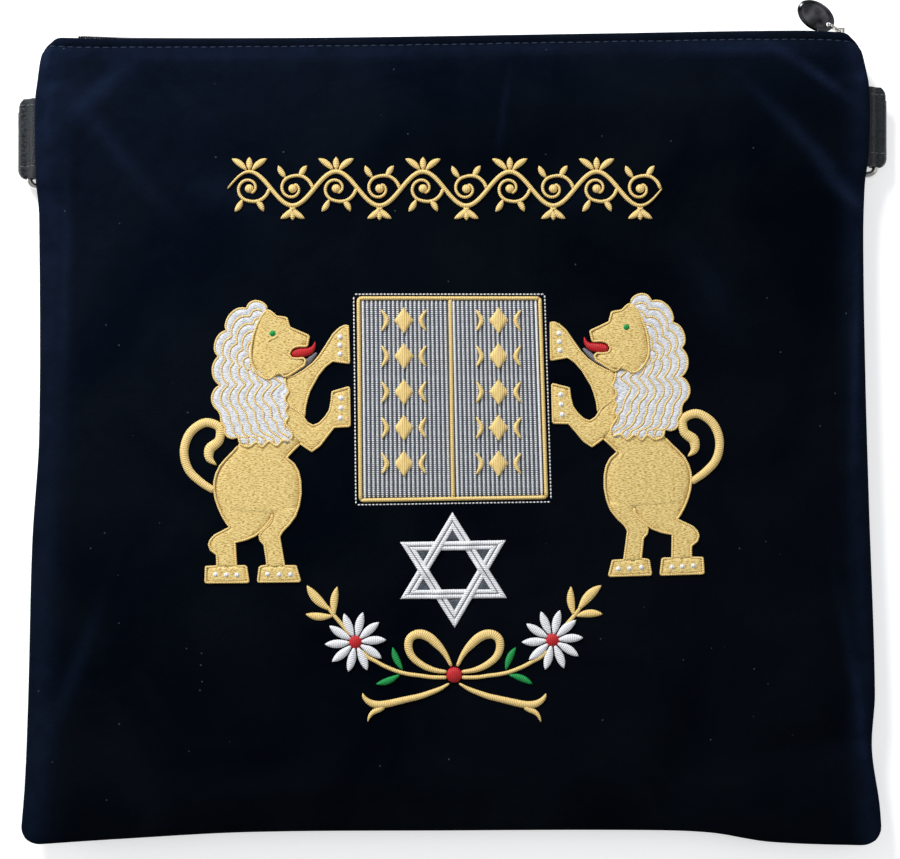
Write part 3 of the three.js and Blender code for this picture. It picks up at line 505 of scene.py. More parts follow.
# Quads of a grid of rows and columns, numbered row by row
def gridQuads(rows, columns, closed=False):
    row, column = np.meshgrid(np.arange(rows - 1), np.arange(columns if closed else columns - 1),
                              indexing="ij")
    after = (column + 1) % columns
    return np.stack([row * columns + column, row * columns + after,
                     (row + 1) * columns + after, (row + 1) * columns + column], -1).reshape(-1, 4)


# Six times the volume that a set of faces closes, to tell which way they look
def signedVolume(points, faces):
    total = 0.0
    for group in faces:
        a = points[group[:, 0]]
        for step in range(1, group.shape[1] - 1):
            b, c = points[group[:, step]], points[group[:, step + 1]]
            total += float(np.einsum("ij,ij->", a, np.cross(b, c)))
    return total


# One closed part of a piece: points, faces and the millimetres that its stitches follow
def closedPart(points, faces, along):
    if signedVolume(points - points.mean(0), faces) < 0:
        faces = [group[:, ::-1] for group in faces]
    return points, faces, along


# Each vector over its length
def unit(vectors):
    return vectors / np.maximum(np.linalg.norm(vectors, axis=-1, keepdims=True), 1e-9)


# Circles of a radius round each point of a path, in the plane of two directions
def wireRings(path, radius, aside, upright, sides):
    turn = (np.arange(sides) / sides * 2 * math.pi)[None, :, None]
    radius = np.broadcast_to(radius, len(path))[:, None, None]
    aside = np.broadcast_to(aside, path.shape)[:, None]
    upright = np.broadcast_to(upright, path.shape)[:, None]
    return path[:, None] + radius * (np.cos(turn) * aside + np.sin(turn) * upright)


# Rings of equal count joined into a tube, with a middle point closing each end
def tube(rings, along):
    count, sides = rings.shape[:2]
    points = np.concatenate([rings.reshape(-1, 3), [rings[0].mean(0), rings[-1].mean(0)]])
    turn = np.arange(sides)
    following = (turn + 1) % sides
    low = np.stack([following, turn, np.full(sides, count * sides)], -1)
    last = (count - 1) * sides
    high = np.stack([last + turn, last + following, np.full(sides, count * sides + 1)], -1)
    places = np.concatenate([along.reshape(-1, 2), [along[0].mean(0), along[-1].mean(0)]])
    return closedPart(points, [gridQuads(count, sides, True), np.concatenate([low, high])], places)


# A new object, linked into the scene
def addObject(name, data):
    thing = bpy.data.objects.new(name, data)
    bpy.context.scene.collection.objects.link(thing)
    return thing


# A visible object on its body, smooth, with its finish and the nodes that it replaces
def dress(name, mesh, finish, body, standsFor):
    mesh.polygons.foreach_set("use_smooth", np.ones(len(mesh.polygons), bool))
    mesh.materials.append(finish)
    piece = addObject(name, mesh)
    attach(piece, body)
    if standsFor:
        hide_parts(*standsFor)
    return piece


# Gives each corner of a mesh its vertex's place in a new map
def addMap(mesh, name, places):
    corners = np.empty(len(mesh.loops), np.int32)
    mesh.loops.foreach_get("vertex_index", corners)
    layer = mesh.uv_layers.new(name=name)
    layer.data.foreach_set("uv", places[corners].astype(np.float32).ravel())


# Joins closed parts into one visible piece, with the map "stitches" in metres
def addPiece(name, parts, finish, slot, body="bag", standsFor=()):
    mesh = bpy.data.meshes.new(name)
    starts = np.cumsum([0] + [len(part[0]) for part in parts])
    points = np.concatenate([part[0] for part in parts]) * metre
    faces = [face for part, start in zip(parts, starts) for group in part[1]
             for face in (group + start).tolist()]
    mesh.from_pydata(points.tolist(), [], faces)
    addMap(mesh, "stitches", np.concatenate([part[2] for part in parts]) * metre)
    mesh.update()
    return dress(name, mesh, finish, body, standsFor)


# A mesh's points in mm, where they stand
def meshPoints(thing):
    flat = np.empty(3 * len(thing.data.vertices))
    thing.data.vertices.foreach_get("co", flat)
    place = np.array(thing.matrix_world)
    return (flat.reshape(-1, 3) @ place[:3, :3].T + place[:3, 3]) / metre


# How strong the painted sheen on the velvet is, 0 to 1: along the side seams, below the top seam and
# on bells laid along the ridges of folds (x, y, length, breadth as shares, turn, strength)
paintedSheenRows = (
    (.85, .91, .062, .006, -35, .8), (.7, .955, .08, .007, 0, .6), (.86, .71, .085, .008, -44, .6),
    (.94, .61, .035, .007, -40, .5), (.98, .93, .03, .006, 90, .6), (.2, .96, .2, .006, 0, .3),
    (-.45, .955, .2, .006, 0, .3), (.12, .8, .04, .004, 82, .3), (-.86, .86, .06, .012, 40, .5),
    (-.8, .72, .08, .01, -50, .35), (-.93, .45, .12, .006, 88, .35), (.972, .2, .14, .005, 87, .5),
    (-.88, -.55, .08, .01, 70, .3), (.95, -.6, .1, .006, 100, .4), (.3, .6, .04, .02, 20, .2),
    (-.55, .62, .05, .02, -20, .25), (.62, .36, .05, .02, -60, .18))


paintedSheenLook = {"seam": 0.4, "seamAt": 5.0, "leftReach": 8.0, "rightReach": 6.0, "top": 0.42,
             "topReach": 20.0, "corner": 0.22, "band": 0.45, "bandFrom": 3.6, "bandTo": 5.4}


# Painted sheen: the sum of a bell along each side seam, a fading share below the top, a slow rise towards
# the upper left corner and the folds' bells, all less in the band above the topstitching
def paintedSheenShare(x, y):
    look = paintedSheenLook
    u, v = squarePlace(x, y)
    fromTop = (1 - v) * bagForm["halfHeight"]
    share = look["top"] * np.exp(-fromTop / look["topReach"]) \
        + look["corner"] * ease(0.3, -1, u) * ease(-0.7, 0.9, v) + bells(paintedSheenRows, u, v)
    for fromSide, reach in ((1 + u, look["leftReach"]), (1 - u, look["rightReach"])):
        away = (fromSide * bagForm["halfWidth"] - look["seamAt"]) / reach
        share = share + look["seam"] * np.exp(-away ** 2)
    return share * (look["band"] + (1 - look["band"]) * ease(look["bandFrom"], look["bandTo"], fromTop))


# Adds the map that the velvet reads its painted sheen from
def addPaintedSheen(piece):
    points = meshPoints(piece)
    share = paintedSheenShare(points[:, 0], points[:, 1])
    addMap(piece.data, "bloom", np.stack([share, share * 0], -1))


# A panel is a closed wall: an outer grid, an inner grid one wall away and a rim round both
def panelPart(outerHeight, towardsInside, columns, rows):
    form = bagForm

    # Places from -1 to 1: close together at the rim and even inside
    def stations(count, half):
        rim = np.array([0, 0.3, 0.8, 1.4, 2, 2.7, 3.2, 3.7, 4.2, 4.7, 5.2, 5.8]) / half
        inner = np.linspace(-1 + 6.6 / half, 1 - 6.6 / half, count)
        return np.concatenate([-1 + rim, inner, 1 - rim[::-1]])
    u, v = np.meshgrid(stations(columns, form["halfWidth"]), stations(rows, form["halfHeight"]))
    x, y = outlinePoint(u, v)
    inside = outerHeight(u, v) + towardsInside * form["wall"]
    outside = inside - towardsInside * form["wall"] * rimShare(u, v)
    layers = [np.stack([x, y, z], -1).reshape(-1, 3) for z in (outside, inside)]
    points = np.concatenate(layers)
    high, wide = u.shape
    outer = gridQuads(high, wide)
    inner = outer[:, ::-1] + high * wide
    index = np.arange(high * wide).reshape(high, wide)
    loop = np.concatenate([index[0, :-1], index[:-1, -1], index[-1, :0:-1], index[:0:-1, 0]])
    after = np.roll(loop, -1)
    rim = np.stack([after, loop, loop + high * wide, after + high * wide], -1)
    return closedPart(points, [outer, inner, rim], points[:, :2])


addPaintedSheen(addPiece("velvet_front", [panelPart(frontHeight, -1, 186, 176)], velvet, "velvet",
                  standsFor=["front_panel"]))
addPaintedSheen(addPiece("velvet_back", [panelPart(backHeight, 1, 90, 84)], velvet, "velvet",
                  standsFor=["back_panel"]))
print("velvet panels made")


# A line through points (and any further columns) with a cubic between them, whose slope
# at a point comes from its neighbours; without smoothing it keeps its corners
def lineThrough(rows, spacing, smooth=True):
    p = np.array(rows, float)
    t = np.concatenate([[0], np.cumsum(np.hypot(*np.diff(p[:, :2], axis=0).T))])
    s = np.linspace(0, t[-1], max(3, int(t[-1] / spacing) + 2))
    if not smooth or len(p) < 3:
        return np.stack([np.interp(s, t, p[:, k]) for k in range(p.shape[1])], -1), s
    slope = np.gradient(p, t, axis=0)
    i = np.clip(np.searchsorted(t, s, side="right") - 1, 0, len(t) - 2)
    h = (t[i + 1] - t[i])[:, None]
    x = (s - t[i])[:, None] / h
    return cubic(x, p[i], p[i + 1], slope[i], slope[i + 1], h), s


# A lift is a number, or a function of the share of the line's length
def liftAlong(lift, s):
    return lift(s / s[-1])[:, None] if callable(lift) else lift


# A satin stroke: rows of x, y and width become rings across the line. A ring is half an
# ellipse above the velvet and a shallow one below it, and it closes up towards both ends.
def stroke(rows, height, spacing=1.0, smooth=True, blunt=0.5, lift=0.0, sides=8):
    line, s = lineThrough(rows, spacing, smooth)
    run = unit(np.gradient(line[:, :2], axis=0))
    ends = np.clip(np.minimum(s, s[-1] - s) / blunt, 0, 1) ** 0.5
    reach = line[:, 2] / 2 * (0.6 + 0.4 * ends)
    turn = (np.arange(sides) + 0.5) / sides * 2 * math.pi
    aside = reach[:, None] * np.cos(turn)
    tall = np.where(np.sin(turn) > 0, height, 0.35) * np.sin(turn)
    x = line[:, 0:1] - run[:, 1:2] * aside
    y = line[:, 1:2] + run[:, 0:1] * aside
    raised = liftAlong(lift, s)
    z = frontAt(x, y) + tall * (0.3 + 0.7 * ends[:, None]) + raised
    along = np.stack([np.broadcast_to(s[:, None], x.shape), aside], -1)
    return tube(np.stack([x, y, z], -1), along)


# A filled patch: each row gives a stitch line's two ends, and the rows are joined in turn.
# Across a row the top is a flat cushion, 1 - s^6 under a square root, over a flat underside.
def patch(rows, height, spacing=1.6, smooth=True, lift=0.0, across=9, profile=None, turned=False):
    rows = np.array(rows, float)
    middle = np.stack([(rows[:, 0] + rows[:, 2]) / 2, (rows[:, 1] + rows[:, 3]) / 2], -1)
    line, s = lineThrough(np.concatenate([middle, rows], 1), spacing, smooth)
    share = np.linspace(-1, 1, across)
    shares = np.concatenate([share, share[::-1]])
    cushion = (1 - share ** 6) ** 0.5 if profile is None else profile(share)
    tall = np.concatenate([height * cushion, np.full(across, -0.35)])
    blend = (shares + 1) / 2
    x = line[:, 2:3] + (line[:, 4:5] - line[:, 2:3]) * blend
    y = line[:, 3:4] + (line[:, 5:6] - line[:, 3:4]) * blend
    raised = liftAlong(lift, s)
    z = frontAt(x, y) + tall + raised
    along = np.stack([y, x] if turned else [x, y], -1)
    return tube(np.stack([x, y, z], -1), along)


# A round satin dot: rings of a flattened dome, closed below
def dot(x, y, radius, height):
    tilt = np.array([0.12, 0.4, 0.7, 1.0, 1.3, 1.57])
    reach = np.concatenate([radius * np.sin(tilt), [radius * 0.8]])
    tall = np.concatenate([height * np.cos(tilt), [-0.35]])
    turn = np.arange(16) / 16 * 2 * math.pi
    px = x + reach[:, None] * np.cos(turn)
    py = y + reach[:, None] * np.sin(turn)
    pz = frontAt(px, py) + tall[:, None]
    return tube(np.stack([px, py, pz], -1), np.stack([px, py], -1))


# A leaf or petal: a short stroke that is widest past its middle, with a slight bend
def leaf(x, y, angle, length, width, height=0.7, bend=0.06, lift=0.0):
    t = np.array([0, .12, .3, .5, .68, .84, .95, 1.0])
    wide = width * np.array([.28, .5, .85, 1, .92, .62, .28, .08])
    c, s = math.cos(math.radians(angle)), math.sin(math.radians(angle))
    aside = bend * length * np.sin(math.pi * t)
    px, py = x + length * t * c - aside * s, y + length * t * s + aside * c
    return stroke(np.stack([px, py, wide], -1), height, 0.9, lift=lift)


# Gives each point a width: one for all, or several spread evenly and interpolated
def widen(points, width):
    widths = np.interp(np.linspace(0, 1, len(points)), np.linspace(0, 1, len(np.atleast_1d(width))),
                       np.atleast_1d(width))
    return [(x, y, w) for (x, y), w in zip(points, widths)]


# Running stitches: short strokes laid along a line, with a gap after each
def dashes(points, length, gap, width, height):
    line, s = lineThrough(points, 0.5)
    starts = np.arange(0.5, s[-1] - length, length + gap)
    parts = []
    for start in starts:
        at = np.linspace(start, start + length, 4)
        px, py = np.interp(at, s, line[:, 0]), np.interp(at, s, line[:, 1])
        parts.append(stroke(widen(list(zip(px, py)), [width * 0.7, width, width, width * 0.7]),
                            height, 1.2, blunt=0.4, sides=6))
    return parts


gold, goldFill, silver, silverFill, grey, greyFill = [], [], [], [], [], []
ribs, red, green = [], [], []

# The lions, drawn once for the left: rows give both ends of each stitch line in mm
lionParts = {
    "head": [(-79.8, 56, -79.6, 56), (-81.9, 53.7, -77.7, 54.9), (-83.2, 51.3, -75.6, 53),
        (-84.2, 49.3, -71.2, 52.4), (-85.2, 46.2, -70.1, 48.6), (-86, 42.6, -65.8, 46.5),
        (-86.4, 40, -61.6, 44.8), (-86.7, 37.3, -62.4, 40.7), (-86.8, 36, -69, 39.2),
        (-86.6, 34.2, -70.1, 37.1), (-86.1, 32.7, -69.2, 35.5), (-85.5, 31.4, -63.1, 34.2),
        (-84.6, 29.8, -63.6, 32.2), (-83, 27.8, -66.9, 30), (-81.7, 26.9, -70, 27.9),
        (-80.6, 26.3, -72.2, 27.1), (-78.4, 26.2, -74, 28.8)],
    "upperForeleg": [(-71.3, 14.8, -63.6, 9.7), (-71.7, 17.9, -63.3, 13.9), (-70.6, 20.5, -62.4, 17.9),
        (-71.5, 23.6, -61.3, 21.2), (-72, 26.5, -59.8, 24.5), (-68.6, 27.2, -57.6, 28),
        (-63.8, 29.8, -54.5, 31.8), (-59.8, 32.9, -51.4, 34.1), (-57.1, 36, -47.8, 33.8),
        (-54.5, 40, -44.2, 33.1), (-50.9, 45.7, -44.4, 40), (-46.1, 49.2, -44.7, 49.2)],
    "lowerForeleg": [(-70.8, 14.9, -71.8, 12.3), (-68.2, 13.5, -70.6, 9.7), (-65.5, 11.7, -71.7, 7),
        (-63.9, 9.5, -70, 4.1), (-62.4, 7.2, -68.7, 1), (-61.1, 6.3, -65.5, -1.6),
        (-59.8, 5.8, -60.3, -5.1), (-57.1, 6.8, -56.8, -2.5), (-54.5, 9.5, -53.8, 1.5),
        (-52.5, 12.5, -50.7, 5.4), (-51.7, 16.5, -48.1, 5.4), (-51.4, 20.5, -45.5, 5.6),
        (-44.2, 22.6, -43.9, 5.8)],
    "body": [(-90.4, 1.5, -66.5, 1.5), (-91.6, -1, -65.8, -1), (-92.4, -2.8, -65.8, -2.2),
        (-94.3, -5.3, -69.2, -5.3), (-96.3, -7.3, -71.4, -8), (-98.4, -9.5, -69.2, -9.7),
        (-100.1, -11.5, -67.5, -11.7), (-101.7, -14.8, -66, -14.6), (-102.6, -18.1, -65.3, -18.1),
        (-102.7, -21.9, -65.1, -22.7), (-102.1, -25.6, -65.4, -26), (-100.9, -29.3, -66.1, -29.3),
        (-99.2, -33.1, -67.5, -33.1)],
    "backLeg": [(-100.9, -28.4, -75.6, -28.4), (-99.2, -33.1, -77.6, -32.9), (-97.2, -36.4, -79.5, -36.6),
        (-95.8, -38.4, -81.8, -39.1), (-99.2, -40, -84.7, -41.4), (-102.6, -41.8, -88.9, -43.4),
        (-104.4, -43.8, -93.8, -44.6), (-105, -45.7, -93.8, -45.9), (-104.2, -48, -93.6, -48),
        (-101.5, -49.9, -93.5, -50.1), (-101.3, -55.6, -93.2, -55.6)],
    "frontLeg": [(-77.6, -28.4, -66.2, -28.4), (-77.2, -32.4, -67.3, -32.6), (-77.4, -35.1, -69.2, -35.8),
        (-79.3, -37.6, -71, -37.6), (-81.8, -39.5, -73.1, -39.7), (-83, -41.8, -74.4, -42),
        (-82.6, -43.8, -74.1, -43.8), (-80.8, -45.7, -73.8, -45.7), (-80.1, -50.1, -73.1, -50.1),
        (-79.5, -55.6, -72.3, -55.6)],
    "backFoot": [(-106.3, -55.4, -88.9, -55), (-106.5, -62.1, -87.8, -61.9)],
    "frontFoot": [(-82.9, -55.3, -67.3, -55), (-83.7, -61.7, -65.4, -61.5)],
}
# The mane lies between its scalloped outer edge and the back of the head and chest
maneEdges = {
    "outer": [(-79.8, 56.3), (-80.2, 57.7), (-81.5, 59), (-83.5, 59.8), (-85.7, 59.8), (-87.2, 59),
        (-88.2, 57.5), (-88.6, 56.7), (-90.3, 56.8), (-92.5, 56.5), (-94.5, 55.3), (-96.3, 53.3),
        (-97.3, 51.1), (-97.7, 48.8), (-97.3, 47.2), (-99, 46.4), (-100.7, 44.9), (-101.9, 42.6),
        (-102.4, 40), (-102.1, 37.8), (-100.9, 36), (-102.1, 34.2), (-103.1, 32), (-103.3, 29.4),
        (-102.7, 26.7), (-101.4, 24.7), (-100, 23.4), (-101.6, 22.3), (-102.9, 20.5), (-103.6, 18.3),
        (-103.4, 16.1), (-102.3, 13.9), (-100.7, 12.3), (-99.8, 10.3), (-99.4, 7.2), (-97.8, 5),
        (-98.1, 3.3), (-97, 1.4), (-94.8, .5), (-92.1, 1), (-91.2, -1.6)],
    "inner": [(-79.8, 56.1), (-81.9, 53.7), (-84.1, 49.5), (-85.7, 44.9), (-86.6, 40), (-86.8, 36),
        (-86.3, 32.9), (-85, 30.3), (-83, 27.8), (-80.6, 26.3), (-78.4, 26.2), (-76.6, 27.8),
        (-75.4, 29.8), (-74.2, 28.7), (-72.6, 26.9), (-71.7, 24.9), (-71.1, 22.7), (-70.2, 20.5),
        (-71.7, 18.5), (-71.7, 16.5), (-70.6, 15), (-71.7, 12.5), (-70.3, 9.9), (-71.7, 7.2),
        (-70, 4.6), (-68.7, 1.9), (-69.1, -.3), (-69.7, -1.6)],
}
lionLines = {
    "fringe": [(-92.1, 1), (-91.1, -2), (-87.6, -3.2), (-84.1, -1.2), (-82, -3.3), (-78.9, -.8),
        (-75.5, -2.8), (-72.8, -.4), (-69.7, -1)],
    "maneFront": [(-72, 26.6), (-71.5, 23.6), (-70.3, 20.5), (-71.7, 18.4), (-71.7, 16.5),
        (-70.6, 14.9), (-71.7, 12.5), (-70.4, 9.9), (-71.7, 7.2), (-69.9, 4.5), (-68.7, 1.7),
        (-69.2, -.3)],
    "face": [(-79.7, 56.1), (-77.9, 55.3), (-75.7, 53.2), (-71.3, 52.6), (-70, 48.4), (-65.8, 46.6),
        (-61.6, 44.9), (-62.4, 40.4), (-66.9, 40.4), (-69.1, 39.3), (-70.2, 37.1), (-69.3, 35.3),
        (-66.9, 34.9), (-64.1, 35.2), (-63, 34.3), (-63.6, 32.2), (-66.9, 30), (-70, 27.9),
        (-72.2, 27.1), (-74, 28.8), (-75.4, 30), (-76.6, 27.8), (-78.4, 26.3), (-80.6, 26.3),
        (-83, 27.8), (-85, 30.3), (-86.3, 32.9), (-86.8, 36), (-86.6, 40), (-85.7, 44.9), (-84.1, 49.5),
        (-81.9, 53.7), (-79.7, 56.1)],
    "upperOutline": [(-72.2, 27.1), (-68.6, 27.2), (-63.8, 29.8), (-59.8, 32.9), (-57.1, 36),
        (-54.5, 40), (-50.9, 45.7), (-48.2, 48.2), (-46.1, 49.2), (-44.7, 49.2), (-44.4, 40),
        (-44.2, 33.1), (-47.8, 33.6), (-51.4, 34.1), (-54.5, 31.8), (-57.6, 28), (-61.3, 21.2),
        (-62.4, 17.9), (-63.3, 13.9), (-63.6, 9.7)],
    "lowerOutline": [(-70.4, 14.8), (-68.2, 13.5), (-65.5, 11.7), (-62.4, 7.2), (-59.8, 5.8),
        (-57.1, 6.8), (-54.5, 9.5), (-52.5, 12.5), (-51.7, 16.5), (-51.4, 20.5), (-44.2, 22.6),
        (-43.9, 5.8), (-50.7, 5.4), (-53.8, 1.5), (-56.8, -2.5), (-60.3, -5.1), (-65.5, -1.6)],
    "flank": [(-92.4, -3), (-94.7, -5.7), (-97.6, -8.6), (-100.1, -11.5), (-101.7, -14.8),
        (-102.6, -18.1), (-102.7, -21.9), (-102.1, -25.6), (-100.9, -29.3), (-99.2, -33.1),
        (-97.2, -36.4), (-95.7, -38.2), (-99.2, -40), (-102.6, -41.8), (-104.4, -43.8), (-105, -45.7),
        (-104.2, -48), (-101.5, -49.9), (-101.3, -55.1), (-106.3, -55.4), (-106.5, -62.1),
        (-87.8, -61.9), (-88.9, -55), (-93.2, -55.1), (-93.8, -44.6), (-88.9, -43.4), (-84.9, -41.7),
        (-82, -39.3), (-79.6, -36.7), (-78.1, -34.7), (-77.4, -32.4)],
    "belly": [(-65.6, -2), (-68.5, -4.8), (-71.4, -8), (-68.1, -10.7), (-66.2, -14), (-65.3, -18.1),
        (-65.1, -23.5), (-66, -28.9), (-67.5, -33.1), (-70.2, -36.8), (-73, -39.6), (-74.5, -42.2),
        (-72.3, -55), (-67.3, -55), (-65.4, -61.5), (-83.7, -61.7), (-82.9, -55.3), (-79.5, -54.7),
        (-80.8, -45.7), (-82.6, -43.8), (-83, -41.8), (-81.7, -39.5), (-79.3, -37.6), (-77.6, -35.3),
        (-77.4, -32.6)],
    "lid": [(-79.4, 41.7), (-78.7, 43), (-76.3, 44), (-74.7, 45.4)],
}
tailRows = [(-102.6, -22.4, 3.2), (-108.9, -18.3, 3.7), (-113.6, -13.6, 3.9), (-115.8, -4.8, 4),
            (-112.4, 3.7, 4.1), (-105.6, 7.3, 4.1), (-100.4, 4.9, 4.1), (-100.6, -.4, 4.3),
            (-104.8, -4.6, 4.8), (-104.8, -8.2, 3.8), (-101.7, -11.2, .5)]
clawRows = [(-48.1, 44.4), (-48.1, 40.8), (-48.1, 37), (-47.7, 17.9), (-47.7, 13.6), (-48, 9.2),
            (-102.1, -58.6), (-97.4, -58.7), (-92.8, -58.8), (-79.5, -58.4), (-74.5, -58.6),
            (-69.6, -58.6)]
tongueRows = [(-69.2, 36.6, 2.6), (-66.6, 37.4, 4.2), (-63.6, 37.8, 4.4), (-61.2, 38.4, 3.4),
              (-59.6, 39.9, 2), (-58.9, 42.4, .5)]
mouthShade = [(-58.2, 37.6, 1.2), (-61.6, 34.2, 2.6), (-65.5, 30.7, 2), (-69.1, 28, .6)]
lionLook = {"bodyHeight": 0.9, "outline": 1.1, "lock": 0.9, "lockPitch": 3.7, "lockCount": 8,
            "maneBase": 0.5, "maneSwell": 0.65, "tail": 1.3, "tongue": 1.3, "shade": 0.7,
            "foreclaw": 1.4, "hindclaw": 1.3, "foreclaws": 6, "clawHeight": 1.5,
            "eyeAt": (-77.3, 45.9), "eye": 1.9, "eyeHeight": 2.1,
            "mirrorX": 1.3, "turn": 2.36, "pivot": (68.1, -61.9), "shift": (0.5, 2.3)}


# The right lion is the left one mirrored and turned a little, as the machine sewed it
def lionPlace(rows, side):
    rows = np.array(rows, float)
    if side < 0:
        return rows
    a = math.radians(lionLook["turn"])
    px, py = lionLook["pivot"]
    for k in range(0, 2 * (rows.shape[1] // 2), 2):
        x = 2 * lionLook["mirrorX"] - rows[:, k] - px
        y = rows[:, k + 1] - py
        rows[:, k] = px + x * math.cos(a) - y * math.sin(a) + lionLook["shift"][0]
        rows[:, k + 1] = py + x * math.sin(a) + y * math.cos(a) + lionLook["shift"][1]
    return rows


# Points at even shares of a line's length
def evenly(points, count):
    p = np.array(points, float)
    t = np.concatenate([[0], np.cumsum(np.hypot(*np.diff(p, axis=0).T))])
    s = np.linspace(0, t[-1], count)
    return np.stack([np.interp(s, t, p[:, 0]), np.interp(s, t, p[:, 1])], -1)


# The mane: rows between its two edges, raised as the root of a sine of the distance from
# the outer edge, so that each lock is a ridge as wide as the pitch
def manePart(side, outer, inner):
    share = np.linspace(0, 1, 43)
    shares = np.concatenate([share, share[::-1]])
    x = outer[:, :1] + (inner[:, :1] - outer[:, :1]) * shares
    y = outer[:, 1:] + (inner[:, 1:] - outer[:, 1:]) * shares
    fromEdge = shares * np.hypot(*(inner - outer).T)[:, None]
    ridge = np.sqrt(np.abs(np.sin(math.pi * fromEdge / lionLook["lockPitch"])))
    tall = lionLook["maneBase"] + lionLook["maneSwell"] * ridge
    tall[:, 43:] = -0.35
    fringe = evenly(lionLines["fringe"], 43)
    both = np.concatenate([fringe, fringe[::-1]])
    x, y = np.concatenate([x, [both[:, 0]]]), np.concatenate([y, [both[:, 1]]])
    tall = np.concatenate([tall, tall[-1:] * 0.8])
    placed = lionPlace(np.stack([x.ravel(), y.ravel()], -1), side)
    px, py = placed[:, 0].reshape(x.shape), placed[:, 1].reshape(x.shape)
    return tube(np.stack([px, py, frontAt(px, py) + tall], -1), np.stack([x, y], -1))


# A gold line runs down each valley of the mane for as long as the mane is wide enough
def maneLocks(side, outer, inner):
    wide = np.hypot(*(inner - outer).T)
    s = np.linspace(0, 1, len(wide))
    locks = []
    for count in range(1, lionLook["lockCount"]):
        offset = lionLook["lockPitch"] * count + max(0, count - 3) * 0.16 * np.sin(s * 52 + count)
        fits = np.nonzero(wide - 0.9 > offset)[0]
        if len(fits) < 8:
            continue
        run = np.arange(fits[0], fits[-1] + 1)
        share = np.minimum(offset[run] / wide[run], 0.97)
        line = outer[run] + (inner[run] - outer[run]) * share[:, None]
        rows = np.concatenate([line, np.full((len(run), 1), lionLook["lock"])], 1)
        locks.append(stroke(lionPlace(rows, side), 0.55, 0.9, lift=lionLook["maneBase"] + 0.3, sides=6))
    return locks


# Lifts along a part: the body sinks under the legs, the legs rise out of it, the head is
# above the mane
lionLifts = {
    "head": 0.6,
    "body": lambda t: -0.9 * ease(0.955, 1, t),
    "backLeg": lambda t: -0.9 * ease(0.06, 0, t),
    "frontLeg": lambda t: -0.9 * ease(0.06, 0, t),
}
lineLifts = {"lid": 1.1, "face": 1.0, "maneFront": 0.8, "fringe": 0.8}
maneOuter, maneInner = (evenly(maneEdges[name], 96) for name in ("outer", "inner"))
for side in (-1, 1):
    silverFill.append(manePart(side, maneOuter, maneInner))
    gold += maneLocks(side, maneOuter, maneInner)
    gold.append(stroke(lionPlace(widen(maneEdges["outer"], lionLook["outline"]), side), 0.9, 0.8,
                       lift=0.35, sides=6))
    for name, rows in lionParts.items():
        goldFill.append(patch(lionPlace(rows, side), lionLook["bodyHeight"], smooth=False, across=15,
                              lift=lionLifts.get(name, 0.0)))
    for name, points in lionLines.items():
        thin = name == "lid"
        line = widen([tuple(p) for p in lionPlace(points, side)], 0.6 if thin else lionLook["outline"])
        gold.append(stroke(line, 0.8, 0.8, smooth=name in ("lid", "fringe", "maneFront"),
                           lift=lineLifts.get(name, 0.35), sides=6))
    gold.append(stroke(lionPlace(tailRows, side), lionLook["tail"], 0.8))
    for count, (x, y) in enumerate(lionPlace(clawRows, side)):
        claw = lionLook["foreclaw" if count < lionLook["foreclaws"] else "hindclaw"]
        silver.append(dot(x, y, claw, lionLook["clawHeight"]))
    green.append(dot(*lionPlace([lionLook["eyeAt"]], side)[0], lionLook["eye"], lionLook["eyeHeight"]))
    red.append(stroke(lionPlace(tongueRows, side), lionLook["tongue"], 0.8, lift=0.2))
    grey.append(stroke(lionPlace(mouthShade, side), lionLook["shade"], 0.8))
print("lions drawn")

# The double tablet in the middle: a ribbed silver ground in a gold frame
tabletLook = {
    "corners": ((-40.1, 61.2), (38.5, 61.2), (41.3, -25.1), (-39.2, -26.4)),
    "border": 1.7, "ribPitch": 1.83, "ribWidth": 1.15, "ribHeight": 0.7,
    "stitchLine": ((-42.2, 62.9), (40.6, 62.9), (43.4, -27.1), (-41.2, -28.4), (-42.2, 62.9)),
    "raised": 1.4, "groundHeight": 0.3, "middle": ((-.4, 61.2, 1.7), (.9, -25.7, 1.7)),
    "dash": 1.2, "dashGap": 0.35, "dashWidth": 0.8, "dashHeight": 0.6,
    "lozenges": (51.5, 36, 20.5, 5, -10.5), "lozengeAt": (-20.4, 20.6), "lozengeHeight": 1.3,
    "halfLozenge": (4.4, 5.6), "barReach": (9.6, 7.4), "halfBar": 4.6, "barWidths": (.7, 2.3),
}
corners = np.array(tabletLook["corners"])
greyFill.append(patch([(*corners[0], *corners[1]), (*corners[3], *corners[2])],
                      tabletLook["groundHeight"], 2.5, across=40))
ribCount = int((corners[1] - corners[0])[0] / tabletLook["ribPitch"])
for count in range(1, ribCount):
    share = count / ribCount
    top = corners[0] + (corners[1] - corners[0]) * share
    bottom = corners[3] + (corners[2] - corners[3]) * share
    edge = count in (1, ribCount // 2, ribCount // 2 + 1, ribCount - 1)
    row = (silver if edge else ribs)
    row.append(stroke([(*top, tabletLook["ribWidth"]), (*bottom, tabletLook["ribWidth"])],
                      tabletLook["ribHeight"], 2.4, lift=0.1, sides=6))
loop = np.concatenate([corners, corners[:1]])
for a, b in zip(loop[:-1], loop[1:]):
    gold.append(stroke([(*a, tabletLook["border"]), (*b, tabletLook["border"])], tabletLook["raised"],
                       1.2, blunt=0.3))
gold.append(stroke(tabletLook["middle"], tabletLook["raised"], 1.2))
for a, b in zip(tabletLook["stitchLine"][:-1], tabletLook["stitchLine"][1:]):
    silver += dashes([a, b], *(tabletLook[name] for name in ("dash", "dashGap", "dashWidth", "dashHeight")))

